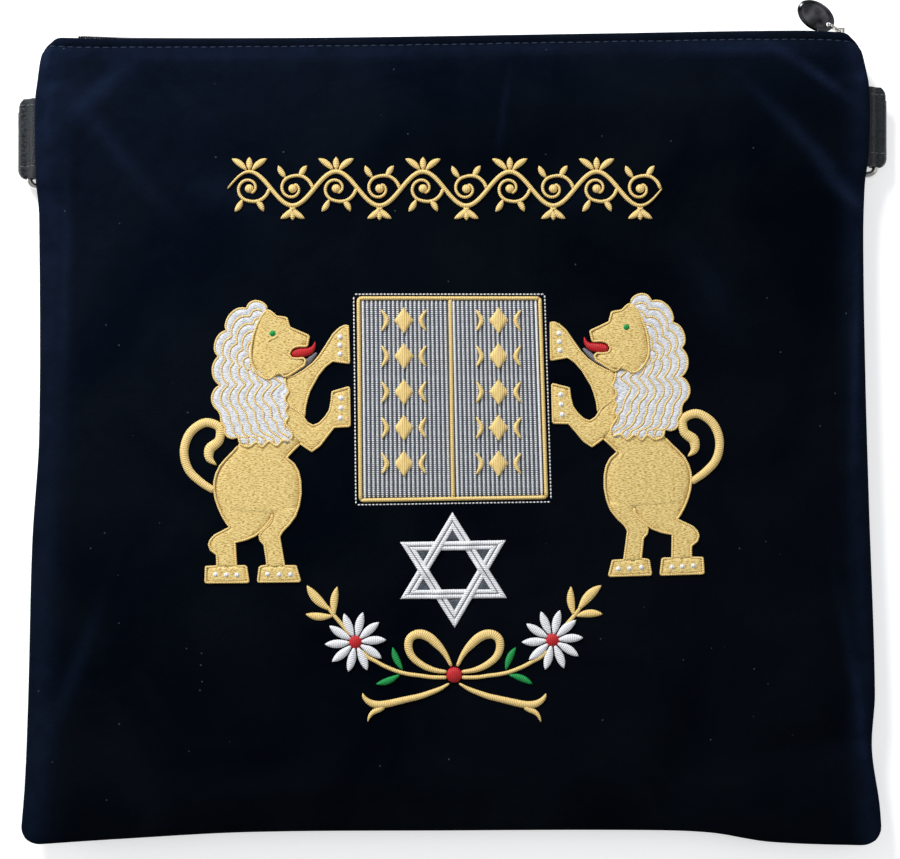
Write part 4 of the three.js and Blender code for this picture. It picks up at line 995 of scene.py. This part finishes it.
# A plain lozenge between two bars, five times down each tablet
wide, tall = tabletLook["halfLozenge"]
far, near = tabletLook["barReach"]
thin, thick = tabletLook["barWidths"]
bar, raised = tabletLook["halfBar"], tabletLook["lozengeHeight"]
for x in tabletLook["lozengeAt"]:
    for y in tabletLook["lozenges"]:
        gold.append(patch([(x - .1, y + tall, x + .1, y + tall), (x - wide, y, x + wide, y),
                           (x - .1, y - tall, x + .1, y - tall)], raised, 0.8, smooth=False, lift=0.4,
                          profile=lambda s: np.sqrt(np.clip(1 - s * s, 0, 1))))
        for hand in (-1, 1):
            gold.append(stroke([(x + hand * far, y + bar, thin), (x + hand * near, y, thick),
                                (x + hand * far, y - bar, thin)], raised, 0.7, lift=0.4))
print("tablets drawn")

# The six-pointed star: two triangles of double satin, woven over and under
starLook = {
    "up": ((.6, -31.5), (-22, -69.2), (24.3, -68.8)),
    "down": ((1.6, -81.8), (23.8, -43.7), (-22.1, -44.5)),
    "band": 4.0, "height": 0.75, "over": 0.85, "overAt": 0.35, "overReach": 0.09, "groundHeight": 0.3,
}


# Moves each side of a triangle inwards by a distance and gives the new corners
def innerCorners(points, distance):
    middle = points.mean(0)
    return middle + (points - middle) * (1 - distance / np.linalg.norm(points[0] - middle) * 2)


# Each side rises in a bell where it crosses over another
def starLift(t):
    return starLook["over"] * np.exp(-((t - starLook["overAt"]) / starLook["overReach"]) ** 2)


# Two rows of satin side by side: two half circles across a side
def doubleRidge(share):
    return np.sqrt(np.clip(1 - (2 * np.abs(share) - 1) ** 2, 0, 1)) * 0.9 + 0.1


for name in ("up", "down"):
    outer = np.array(starLook[name])
    inner = innerCorners(outer, starLook["band"])
    centre = innerCorners(outer, starLook["band"] / 2)
    for k in range(3):
        n = (k + 1) % 3
        silver.append(patch([(*outer[k], *inner[k]), (*outer[n], *inner[n])], starLook["height"], 1.0,
                            smooth=False, lift=starLift, across=13, profile=doubleRidge,
                            turned=abs(outer[k][1] - outer[n][1]) > 5))
        grey.append(stroke([(*centre[k], 0.8), (*centre[n], 0.8)], starLook["height"] * 0.8, 1.0,
                           smooth=False, lift=starLift, sides=6))
    for k in range(3):
        a = outer[k] + (outer[(k + 1) % 3] - outer[k]) / 3
        b = outer[k] + (outer[(k + 2) % 3] - outer[k]) / 3
        tip = outer[k] * 0.9 + (a + b) / 2 * 0.1
        greyFill.append(patch([(*tip, *(tip + 0.01)), (*a, *b)], starLook["groundHeight"], 1.5,
                              smooth=False))
print("star drawn")

# Daisies, bow, stems and leaves below the star
sprayLook = {"daisies": ((-41.4, -87.9), (44, -87)), "petals": 10, "firstPetal": 4,
             "petalFrom": 2.4, "petalReach": 13.3, "petalWidth": 3.9, "heart": 3.15, "heartHeight": 1.8,
             "knot": (1.4, -102.2), "knotRadius": 3.5, "knotHeight": 1.9, "mirrorX": 1.4}


# The right half of the spray is the left one mirrored
def sprayPlace(points, side):
    return [((2 * sprayLook["mirrorX"] - p[0]) if side > 0 else p[0], *p[1:]) for p in points]


# Strokes of the left half, each with its height: bow, two stems, ribbon and ribbon's end
sprayStrokes = (
    (1.2, ((.2, -98.5, 1.4), (-2.8, -92.7, 2.6), (-6.3, -88.6, 3.9), (-9.7, -85.7, 4.3),
           (-12.7, -84.5, 4.3), (-15.8, -84.8, 4), (-17.8, -86.4, 3.9), (-18.5, -89.1, 3.8),
           (-18.1, -91.8, 3.6), (-16.5, -94.7, 3.3), (-14, -96.9, 3.1), (-10.4, -99, 2.8),
           (-6.4, -100.3, 2.2), (-1.8, -100.9, 1.6))),
    (1.0, ((-39, -91.6, 1.5), (-37.4, -93.3, 1.8), (-35.7, -94.7, 1.8), (-32.7, -96.3, 1.8),
           (-29.1, -98.3, 1.8), (-25.9, -99.7, 1.8), (-22.3, -101, 1.8), (-18.3, -101.9, 1.8),
           (-13.6, -102.5, 1.8), (-8.6, -103.2, 1.8), (-1.8, -103.3, 1.8))),
    (1.0, ((-43.4, -85, 1.6), (-46.4, -81.4, 1.8), (-52.1, -74.6, 1.6), (-54, -72, 1.2))),
    (1.2, ((-.7, -105.9, .9), (-4.6, -108.2, 1.9), (-9, -110, 2.4), (-13.6, -111.6, 2.7),
           (-18.3, -112.7, 2.9), (-23, -113.8, 3.1), (-28, -114.9, 3.3), (-32, -115.2, 3.3),
           (-34.8, -114.5, 3), (-37, -112.9, 2.2), (-38.1, -111.3, 1.3), (-38.4, -110.3, .4))),
    (1.0, ((-29, -116, 2.2), (-31.2, -117.4, 2.4), (-33.4, -118.3, 2.4), (-34.8, -119.5, 1.9),
           (-35.7, -121.1, 1.2), (-36.2, -122.8, .4))),
)
# Leaf rows: x, y, angle, length and width
goldLeaves = ((-52.6, -73.9, 133, 14.4, 4.4), (-50.6, -76.4, 84, 12.6, 3.6),
              (-51.4, -76.6, 176, 11.6, 3.6))
greenLeaves = ((-21, -99.9, 114, 10.6, 3.1), (-22.4, -102.2, 201.6, 10.9, 3.1))
for side in (-1, 1):
    for tall, rows in sprayStrokes:
        gold.append(stroke(sprayPlace(rows, side), tall, 0.8))
    for threads, leaves in ((gold, goldLeaves), (green, greenLeaves)):
        for x, y, angle, length, width in leaves:
            threads.append(leaf(*sprayPlace([(x, y)], side)[0], angle if side < 0 else 180 - angle,
                                length, width, 1.0))
start = sprayLook["petalFrom"]
for x, y in sprayLook["daisies"]:
    for petal in range(sprayLook["petals"]):
        angle = 360 / sprayLook["petals"] * petal + sprayLook["firstPetal"]
        c, s = math.cos(math.radians(angle)), math.sin(math.radians(angle))
        silver.append(leaf(x + start * c, y + start * s, angle, sprayLook["petalReach"] - start,
                           sprayLook["petalWidth"], 1.1, bend=0.02, lift=0.35))
    red.append(dot(x, y, sprayLook["heart"], sprayLook["heartHeight"]))
red.append(dot(*sprayLook["knot"], sprayLook["knotRadius"], sprayLook["knotHeight"]))
print("spray drawn")

# A scrolling vine across the top: a wave of satin, with a tendril that curls into each bend
# round a berry and small leaves on the outside
vineLook = {"left": -97.0, "right": 91.5, "middle": 108.8, "swing": 7.4, "bends": 10, "stem": 2.0,
            "tendril": (8.8, 5.4, 4.7, 3.8, 2.9, 2.0), "curl": 430, "berry": 1.9, "twigReach": 5.6,
            "crestLeaves": ((-52, -1.2, 8.2), (52, 1.2, 8.2), (0, 0, 5.8)),
            "twigLeaves": ((-58, 6.2), (-122, 6.2))}
bendWidth = (vineLook["right"] - vineLook["left"]) / vineLook["bends"]
across = np.linspace(vineLook["left"], vineLook["right"], 100)
vineY = vineLook["middle"] + vineLook["swing"] * np.sin((across - vineLook["left"]) / bendWidth * math.pi)
taper = np.interp(np.arange(100), [0, 8, 91, 99], [0.35, 1, 1, 0.35])
gold.append(stroke(np.stack([across, vineY, vineLook["stem"] * taper], -1), 1.2, 0.8))
for bend in range(vineLook["bends"]):
    x = vineLook["left"] + (bend + 0.5) * bendWidth
    hand = 1 if bend % 2 == 0 else -1
    turn = np.linspace(0, -vineLook["curl"], 24)
    reach = np.interp(-turn, np.linspace(0, vineLook["curl"], 6), vineLook["tendril"])
    curlX = x + reach * np.cos(np.radians(turn))
    curlY = vineLook["middle"] + hand * reach * np.sin(np.radians(turn))
    gold.append(stroke(np.stack([curlX, curlY, np.linspace(1.6, 1.1, 24)], -1), 1.1, 0.7))
    gold.append(dot(x, vineLook["middle"], vineLook["berry"], 1.5))
    crest = vineLook["middle"] + hand * (vineLook["swing"] + 0.6)
    for lean, far, length in vineLook["crestLeaves"]:
        gold.append(leaf(x + far, crest, hand * 90 - lean, length, 2.9, 1.1, bend=0.0012 * lean))
    reach = vineLook["twigReach"]
    for angle, length in vineLook["twigLeaves"]:
        c, s = math.cos(math.radians(angle)), hand * math.sin(math.radians(angle))
        gold.append(leaf(x + reach * c, vineLook["middle"] + reach * s, math.degrees(math.atan2(s, c)),
                         length, 2.7, 1.1))
print("vine drawn")

# Piece rows: name, parts, finish and slot
threadPieces = (
    ("gold_embroidery", gold, satins["gold_satin"], "gold_thread"),
    ("gold_filling", goldFill, fills["gold_fill"], "gold_thread"),
    ("silver_embroidery", silver, satins["silver_satin"], "silver_thread"),
    ("tablet_ribs", ribs, satins["tablet_ribs"], "silver_thread"),
    ("silver_filling", silverFill, fills["silver_fill"], "silver_thread"),
    ("grey_embroidery", grey, satins["grey_satin"], "grey_thread"),
    ("grey_filling", greyFill, fills["grey_fill"], "grey_thread"),
    ("red_embroidery", red, satins["red_satin"], "red_thread"),
    ("green_embroidery", green, satins["green_satin"], "green_thread"))
for row in threadPieces:
    addPiece(*row)
print("embroidery made")

# Machine topstitching below the top edge
topStitch = {"below": 4.2, "length": 3.0, "gap": 0.9, "width": 0.6, "height": 0.3}
stitchX = np.linspace(-176, 176, 60)
stitchY = outlineSides(squarePlace(stitchX, np.full(60, 170.0))[0], 0.0)[3] - topStitch["below"]
addPiece("top_stitching", dashes(list(zip(stitchX, stitchY)), topStitch["length"], topStitch["gap"],
                                 topStitch["width"], topStitch["height"]),
         satins["seam_thread"], "velvet")

# The closed zip along the top edge
zipForm = {
    "pitch": 2.1, "halfWidth": 2.75, "depth": 2.3, "proudLeft": 0.6, "proudRight": -1.2,
    "inset": 12.0, "stop": 3.0, "tapeWall": 0.8, "tapeReach": 12.0, "tapeClearance": 0.65,
    "coilRaise": 1.15, "coilBump": 0.35, "tapeOpening": 1.7, "sliderFromSide": 12.0,
    "sliderLength": 12.4, "wire": 0.42, "headWire": 0.55, "bumpEnds": (9, 22),
    "tailShare": 0.42, "noseShare": 0.1, "postShare": 0.3, "spreadShares": (0.3, 0.15),
}


# The share from -1 to 1 of an x along the top edge
def acrossTop(x):
    left, right, _, _ = outlineSides(0.0, 1.0)
    return 2 * (x - left) / (right - left) - 1


cornerShare = bagForm["cornerRadius"] / bagForm["halfWidth"]
topLeftX = float(outlinePoint(np.array(-1 + cornerShare), np.array(1.0))[0])
topRightX = float(outlinePoint(np.array(1 - cornerShare), np.array(1.0))[0])
sliderX = float(bagForm["halfWidth"] * follow(rightEdge, 1.0)) - zipForm["sliderFromSide"]
coilStartX = topLeftX + zipForm["inset"] - bagForm["cornerRadius"] + zipForm["stop"]
coilEndX = sliderX - zipForm["sliderLength"] * zipForm["noseShare"]


# Height of the closed chain's outer face: proud of the velvet on the left, sunk on the right
def chainY(x):
    along = np.clip((x - topLeftX) / (topRightX - topLeftX), 0, 1)
    edge = bagForm["halfHeight"] * follow(topEdge, acrossTop(x))
    return edge + zipForm["proudLeft"] + (zipForm["proudRight"] - zipForm["proudLeft"]) * along


# One turn of the coil: a loop of nylon from the tape over the chain's face to a broad head
# just past the middle, where it hooks behind the other half's turns. It climbs as a sine, and
# the chain stands higher towards its left end.
def coilTurn(x, hand):
    form = zipForm
    t = np.linspace(0, 1, 9)
    side = hand * (form["halfWidth"] - form["wire"]) * (1 - 1.22 * t)
    climb = np.sin(math.pi * np.minimum(t * 1.35, 1) / 2)
    lift = -form["wire"] - (form["depth"] - 2 * form["wire"]) * (1 - climb) - 0.35 * ease(0.8, 1, t)
    radius = form["wire"] + (form["headWire"] - form["wire"]) * ease(0.55, 0.9, t)
    fromEnd = x - coilStartX
    high, low = form["bumpEnds"]
    raised = form["coilRaise"] * ease(coilEndX - 4, coilStartX + 40, x) \
        + form["coilBump"] * ease(-2, 3, fromEnd) * ease(low, high, fromEnd)
    path = np.stack([np.full(9, x), chainY(x) + lift + raised, bagForm["seamHeight"] + side], -1)
    run = unit(np.gradient(path, axis=0))
    aside = np.array([1.0, 0, 0])
    rings = wireRings(path, radius, aside, np.cross(run, aside), 6)
    return tube(rings, rings[..., ::2])


for hand, name in ((1, "front"), (-1, "back")):
    shift = 0.0 if hand > 0 else 0.5
    turns = int((coilEndX - coilStartX) / zipForm["pitch"] - shift)
    coil = [coilTurn(coilStartX + (turn + shift + 0.25) * zipForm["pitch"], hand) for turn in range(turns)]
    addPiece(f"coil_turns_{name}", coil, zipNylon, "zip_coil", standsFor=[f"zip_coil_{name}"])


# A tape stands behind the coil, turns at the velvet's edge and lies under the velvet
def tapePart(facing):
    form, bag = zipForm, bagForm
    start = topLeftX + form["inset"] - bag["cornerRadius"]
    long = form["sliderLength"]
    end = sliderX + long * form["tailShare"]
    postX = sliderX + long * form["postShare"]
    x = np.linspace(start, end, 130)
    u = acrossTop(x)
    behind = chainY(x) - form["depth"] - bag["fitGap"]
    spread = ease(*(postX - long * share for share in form["spreadShares"]), x)
    opening = bag["seamGap"] / 2 + form["tapeOpening"] * spread
    edge = bag["halfHeight"] * follow(topEdge, u)

    # Height of the tape's face below the velvet at a distance from the edge
    def under(reach):
        v = 1 - reach / bag["halfHeight"]
        outer = frontHeight(u, v) - rumples(u, v) if facing > 0 else backHeight(u, v)
        return outer - facing * (bag["wall"] + form["tapeClearance"])
    near, wall, far = bag["wall"] * 2, form["tapeWall"], form["tapeReach"]
    rim = bag["seamHeight"] + facing * (halfGap(u, 1.0) - form["tapeClearance"])
    middle = bag["seamHeight"] + facing * opening
    section = [
        (behind, middle), (behind, rim), (edge - near, under(near)), (edge - far, under(far)),
        (edge - far, under(far) - facing * wall), (edge - near - wall, under(near) - facing * wall),
        (behind - wall, rim - facing * wall), (behind - wall, middle)]
    rings = np.stack([np.stack([x, y, z + 0 * x], -1) for y, z in section], 1)
    return tube(rings, rings[..., :2])


for facing, name in ((1, "front"), (-1, "back")):
    addPiece(f"tape_{name}", [tapePart(facing)], zipTape, "zip_tape", standsFor=[f"zip_tape_{name}"])
print("zip made")


# A copy of a metal solid with its corners and flat faces joined and its edges softened
def softenedCopy(name, node, finish, body, edge, segments, levels=0):
    source = bpy.data.objects[node]
    mesh = bpy.data.meshes.new(name)
    work = bmesh.new()
    work.from_mesh(source.data)
    work.transform(source.matrix_world)
    bmesh.ops.remove_doubles(work, verts=work.verts, dist=0.00002)
    if not levels:
        bmesh.ops.dissolve_limit(work, angle_limit=math.radians(2), verts=work.verts, edges=work.edges)
    bmesh.ops.recalc_face_normals(work, faces=work.faces)
    work.to_mesh(mesh)
    work.free()
    piece = dress(name, mesh, finish, body, [node])
    if levels:
        rounder = piece.modifiers.new("rounder", "SUBSURF")
        rounder.levels = rounder.render_levels = levels
    else:
        bevel = piece.modifiers.new("edges", "BEVEL")
        bevel.width = edge * metre
        bevel.segments = segments
        bevel.angle_limit = math.radians(35)
        bevel.harden_normals = True


tagForm = {"length": 18.0, "width": 12.0, "holeRadius": 0.9, "holeEdge": 1.5, "face": 0.5,
           "bead": 0.42, "beadAt": 0.85, "beadWidth": 0.06, "roundFrom": 0.94, "holeRound": 0.08}


# The oval tag: rings run from its hole to its outer edge on both faces. Its half thickness is
# the face plus a bell round the rim, rounded off as a quarter circle at the edge and the hole.
def tagPart(node):
    form = tagForm
    points = meshPoints(bpy.data.objects[node])
    axes = np.linalg.svd(points - points.mean(0), full_matrices=False)[2]
    spread = (points - points.mean(0)) @ axes.T
    centre = points.mean(0) + (spread.max(0) + spread.min(0)) / 2 @ axes
    hand = np.sign(-(spread.max(0) + spread.min(0))[0])
    angle = np.arange(64) / 64 * 2 * math.pi
    t = np.concatenate([[0, .01, .03, .06, .1], np.linspace(.16, .93, 34), [.95, .97, .98, .99, 1.0]])
    share = np.concatenate([t, t[::-1]])
    halfLength, halfWidth, hole = form["length"] / 2, form["width"] / 2, form["holeRadius"]
    holeX = hand * (halfLength - form["holeEdge"] - hole)
    c, s = np.cos(angle)[:, None], np.sin(angle)[:, None]
    x = (holeX + hole * c) * (1 - share) + halfLength * c * share
    y = hole * s * (1 - share) + halfWidth * s * share
    r = np.hypot(x / halfLength, y / halfWidth)
    edge = np.clip((r - form["roundFrom"]) / (1 - form["roundFrom"]), 0, 1)
    rounded = np.sqrt(1 - edge ** 2) * np.sqrt(1 - 0.8 * np.clip(1 - share / form["holeRound"], 0, 1) ** 2)
    bead = form["bead"] * np.exp(-((r - form["beadAt"]) / form["beadWidth"]) ** 2)
    tall = (form["face"] + bead) * rounded
    side = np.concatenate([np.ones(len(t)), -np.ones(len(t))])
    world = centre + np.stack([x, y, tall * side], -1).reshape(-1, 3) @ axes
    quads = gridQuads(65, len(share), True) % (64 * len(share))
    return closedPart(world, [quads], world[:, :2])


softenedCopy("end_clamp", "zip_end_stop", nickel, "bag", 0.35, 3)
softenedCopy("slider_body", "zip_slider", nickel, "bag", 0.18, 2)
softenedCopy("pull_wire", "zip_bail", nickel, "pull", 0, 0, 2)
addPiece("pull_plate", [tagPart("zip_tag")], gunmetal, "gunmetal", "pull", ["zip_tag"])

# The wire rings: a straight bar, two bent corners and a round bow, tilted onto the surface
ringForm = {"wire": 1.4, "width": 35.3, "reach": 22.6, "bend": 3.0, "barOut": 3.7, "show": 3.0,
            "tabWidth": 35.0, "tabReach": 8.7, "tabRoot": 6.0, "leather": 1.3, "tabSpring": 0.35}
rimUnderTab = bagForm["seamHeight"] - bagForm["tabOpening"] - bagForm["wall"]
wireUnderRim = rimUnderTab - bagForm["fitGap"] - ringForm["wire"]
barHeight = (wireUnderRim * ringForm["reach"] - ringForm["barOut"] * ringForm["wire"]) \
    / (ringForm["reach"] - ringForm["barOut"])
ringTilt = math.asin((barHeight - ringForm["wire"]) / ringForm["reach"])


# How far out the velvet's edge reaches anywhere along a tab
def tabEdgeX(side):
    middle = bagForm["tabMiddles"][side]
    v = sideV(side, middle + np.array([-1, -.5, 0, .5, 1]) * ringForm["tabWidth"] / 2)
    return float(np.max(np.abs(outlinePoint(np.full(5, float(side)), v)[0])))


# The ring's middle line by length from the top of its bow, on both hands
def ringPart(side):
    form = ringForm
    half = form["width"] / 2
    bow, bend = math.pi / 2 * half, math.pi / 2 * form["bend"]
    leg = form["reach"] - half - form["bend"]
    bar = half - form["bend"] - bagForm["seamGap"] / 2
    left = np.linspace(0, bow + leg + bend + bar, 70)
    inBow, inLeg = left < bow, left < bow + leg
    inBend = left < bow + leg + bend
    turn = np.clip((left - bow - leg) / form["bend"], 0, math.pi / 2)
    reach = np.where(inBow, form["reach"] - half + half * np.cos(left / half), np.where(
        inLeg, form["reach"] - half - (left - bow), np.where(inBend, form["bend"] * (1 - np.sin(turn)), 0)))
    along = np.where(inBow, half * np.sin(left / half), np.where(inLeg, half, np.where(
        inBend, half - form["bend"] * (1 - np.cos(turn)), half - form["bend"] - (left - bow - leg - bend))))
    reach = np.concatenate([reach[:0:-1], reach])
    along = np.concatenate([along[:0:-1], -along])
    inward = np.array([-side * math.cos(ringTilt), 0, -math.sin(ringTilt)])
    upY = np.array([0.0, 1, 0])
    middle = bagForm["tabMiddles"][side] - form["tabWidth"] / 2 - form["show"] + half
    start = np.array([side * (tabEdgeX(side) + form["barOut"]), middle, barHeight])
    path = start + reach[:, None] * inward + along[:, None] * upY
    plane = np.cross(inward, upY)
    rings = wireRings(path, form["wire"], np.cross(unit(np.gradient(path, axis=0)), plane), plane, 16)
    return tube(rings, rings[..., :2])


# The leather tab: its section of rows is smoothed along its length, each end of the strip
# is drawn in a little at its outer corners, and the fold is open where the ring's leg passes
def tabPart(side):
    form = ringForm
    half, inner = form["leather"] / 2, form["wire"] + bagForm["fitGap"]
    nose, shoulder = form["tabReach"] - form["leather"], form["barOut"] - inner
    seam, thin, bar = bagForm["seamHeight"], bagForm["seamGap"] / 2, barHeight
    rows = np.array([
        (-form["tabRoot"], seam + thin + half), (0.3, seam + thin + half),
        (form["barOut"], bar + inner + half + form["tabSpring"]), (nose - inner * .55, bar + inner + half),
        (nose + half * .1, bar + inner * .86), (nose + half, bar), (nose + half * .1, bar - inner * .86),
        (nose - inner * .55, bar - inner - half), (form["barOut"], bar - inner - half),
        (shoulder, bar - inner * .86), (shoulder - half, bar), (shoulder - half, seam - thin - 2 * half),
        (0.3, seam - thin - half), (-form["tabRoot"], seam - thin - half)])
    fine = 5
    at = np.arange(len(rows))
    t = np.linspace(0, len(rows) - 1, (len(rows) - 1) * fine + 1)
    before, after = np.maximum(at - 1, 0), np.minimum(at + 1, len(rows) - 1)
    direction = unit(unit(rows - rows[before]) + unit(rows[after] - rows))
    out = np.stack([-direction[:, 1], direction[:, 0]], -1) * half
    faces2d = []
    for hand in (1, -1):
        p = rows + hand * out
        i = np.minimum(t.astype(int), len(rows) - 2)
        x = (t - i)[:, None]
        slope = (p[after] - p[before]) / (after - before)[:, None]
        faces2d.append(cubic(x, p[i], p[i + 1], slope[i], slope[i + 1], 1))
    top = bagForm["tabMiddles"][side] + form["tabWidth"] / 2
    legInside = form["tabWidth"] + form["show"] - form["width"] + form["bend"]
    cutY = top - legInside
    low = top - form["tabWidth"]
    ys = np.concatenate([low + np.array([0, .3, .9, 2, 3.5]), np.linspace(low + 6, cutY, 12),
                         top - np.array([3.5, 2, .9, .3, 0])])
    fromEnd = np.minimum(ys - low, top - ys)
    thick = 0.55 + 0.45 * np.clip(fromEnd / 0.9, 0, 1) ** 0.5
    rounding = 2.0 * np.clip(1 - fromEnd / 3.5, 0, 1) ** 2
    layers = []
    for layer in (0, 1):
        other = faces2d[1 - layer]
        own = faces2d[layer]
        middle = (own + other) / 2
        face = middle[None] + (own - middle)[None] * thick[:, None, None]
        pull = np.clip((face[..., 0] - 3) / 5, 0, 1) ** 2 * rounding[:, None]
        x = side * (tabEdgeX(side) + face[..., 0] - pull)
        layers.append(np.stack([x, np.broadcast_to(ys[:, None], x.shape), face[..., 1]], -1))
    high, wide = len(ys), len(t)
    points = np.concatenate([layer.reshape(-1, 3) for layer in layers])
    cell = np.ones((high - 1, wide - 1), bool)
    upper = ys[:-1] >= cutY - 0.01
    cell[np.ix_(upper, np.arange(4 * fine, 11 * fine))] = False
    padded = np.pad(cell, 1)
    index = np.arange(high * wide).reshape(high, wide)
    j, i = np.nonzero(cell)
    shift = high * wide
    quads = [np.stack([index[j, i], index[j, i + 1], index[j + 1, i + 1], index[j + 1, i]], -1)]
    quads.append(quads[0][:, ::-1] + shift)
    borders = ((-1, 0, (0, 1), (0, 0)), (1, 0, (1, 0), (1, 1)),
               (0, -1, (0, 0), (1, 0)), (0, 1, (1, 1), (0, 1)))
    for dj, di, a, b in borders:
        edge = cell & ~padded[1 + dj:high + dj, 1 + di:wide + di]
        j, i = np.nonzero(edge)
        p, q = index[j + a[0], i + a[1]], index[j + b[0], i + b[1]]
        quads.append(np.stack([p, q, q + shift, p + shift], -1))
    sectionLength = np.concatenate([[0], np.cumsum(np.hypot(*np.diff(faces2d[0], axis=0).T))])
    along = np.stack([np.broadcast_to(sectionLength, (high, wide)),
                      np.broadcast_to(ys[:, None], (high, wide))], -1).reshape(-1, 2)
    used = np.unique(np.concatenate(quads))
    renumber = np.zeros(len(points), int)
    renumber[used] = np.arange(len(used))
    part = closedPart(points[used], [renumber[group] for group in quads],
                      np.concatenate([along, along])[used])
    return part, faces2d[0]


tabStitchForm = {"first": 6.6, "last": 17.5, "pitch": 2.9, "length": 2.2, "thread": 0.2,
                 "proud": 0.05, "sink": 0.28, "foldRow": 20, "foldClear": 2.6, "upperRow": 5}


# Hand-guided edge stitches over a tab: short loops of thread that lie on its outer face;
# the upper row stops where the fold is open for the ring's leg
def tabStitches(side, section, insets):
    form = tabStitchForm
    top = bagForm["tabMiddles"][side] + ringForm["tabWidth"] / 2
    length = np.concatenate([[0], np.cumsum(np.hypot(*np.diff(section, axis=0).T))])
    lastAtCut = length[form["foldRow"]] - form["foldClear"]
    parts = []
    for inset in insets:
        starts = np.arange(form["first"], form["last"], form["pitch"])
        for start in starts[starts < lastAtCut] if inset < form["upperRow"] else starts:
            at = np.linspace(start, start + form["length"], 6)
            x, z = np.interp(at, length, section[:, 0]), np.interp(at, length, section[:, 1])
            run = unit(np.gradient(np.stack([x, z], -1), axis=0))
            out = form["proud"] - form["sink"] * np.abs(np.linspace(-1, 1, 6)) ** 3
            path = np.stack([side * (tabEdgeX(side) + x - run[:, 1] * out), np.full(6, top - inset),
                             z + run[:, 0] * out], -1)
            normal = np.stack([-side * run[:, 1], np.zeros(6), run[:, 0]], -1)
            rings = wireRings(path, form["thread"], np.array([0.0, 1, 0]), normal, 6)
            parts.append(tube(rings, np.stack([np.broadcast_to(at[:, None], rings.shape[:2]),
                                               rings[..., 1]], -1)))
    return parts


for side, name, insets in ((-1, "left", (2.9, 29.8)), (1, "right", (3.3, 29.1))):
    addPiece(f"wire_ring_{name}", [ringPart(side)], nickel, "nickel", f"{name}_ring", [f"ring_{name}"])
    part, section = tabPart(side)
    addPiece(f"leather_tab_{name}", [part], tabLeather, "leather", standsFor=[f"tab_{name}"])
    addPiece(f"tab_stitches_{name}", tabStitches(side, section, insets), satins["tab_thread"], "grey_thread")
print("rings and tabs made")

# A pale paper floor, a camera straight above and soft light
stageLook = {"floor": 6.0, "grain": 83.3, "glow": 0.45, "sky": 0.4, "cameraX": -0.44,
             "cameraY": 4.27, "planeHeight": 11.0, "frameWidth": 396.0, "lens": 85.0}
floorPaper, floorTree, floorShader = newFinish("floor_paper", 0.9)
floorGrain = addNode(floorTree, "ShaderNodeTexNoise", None, {
    "Vector": (addNode(floorTree, "ShaderNodeTexCoord"), "Object"),
    "Scale": 1000 / stageLook["grain"], "Detail": 2.0})
setInputs(floorTree, floorShader, {
    "Base Color": blendColours(floorTree, (floorGrain, "Fac"), "#f4f4f4", "#f8f8f8"),
    "Emission Color": linearColour("#ffffff"), "Emission Strength": stageLook["glow"]})
floorMesh = bpy.data.meshes.new("paper_floor")
far = stageLook["floor"]
floorMesh.from_pydata([(-far, -far, 0), (far, -far, 0), (far, far, 0), (-far, far, 0)], [], [(0, 1, 2, 3)])
floorMesh.materials.append(floorPaper)
addObject("paper_floor", floorMesh)

camera = addObject("camera", bpy.data.cameras.new("camera"))
camera.data.lens = stageLook["lens"]
camera.data.sensor_width = 36.0
height = stageLook["frameWidth"] * stageLook["lens"] / 36.0 + stageLook["planeHeight"]
camera.location = (stageLook["cameraX"] * metre, stageLook["cameraY"] * metre, height * metre)
bpy.context.scene.camera = camera

# Light rows: name, place, where it points, size and power
lightRows = (
    ("key", (-0.75, 1.35, 1.0), (0, 0, 0), 0.6, 37.0),
    ("fill", (0.9, 0.1, 1.4), (0, 0, 0), 1.3, 4.0),
    ("low_left", (-1.3, 0.2, 0.35), (-0.1, 0, 0.02), 0.6, 4.0),
)
for name, place, target, size, power in lightRows:
    lamp = bpy.data.lights.new(name, "AREA")
    lamp.shape = "DISK"
    lamp.size = size
    lamp.energy = power
    holder = addObject(name, lamp)
    holder.location = place
    aim = np.array(target) - np.array(place)
    holder.rotation_euler = (
        math.atan2(math.hypot(aim[0], aim[1]), -aim[2]), 0, math.atan2(-aim[0], aim[1]))

world = bpy.data.worlds.new("soft_studio")
bpy.context.scene.world = world
world.use_nodes = True
background = world.node_tree.nodes["Background"]
background.inputs["Color"].default_value = linearColour("#f2f4f8")
background.inputs["Strength"].default_value = stageLook["sky"]
bpy.context.scene.view_settings.view_transform = "Standard"
print("stage set")
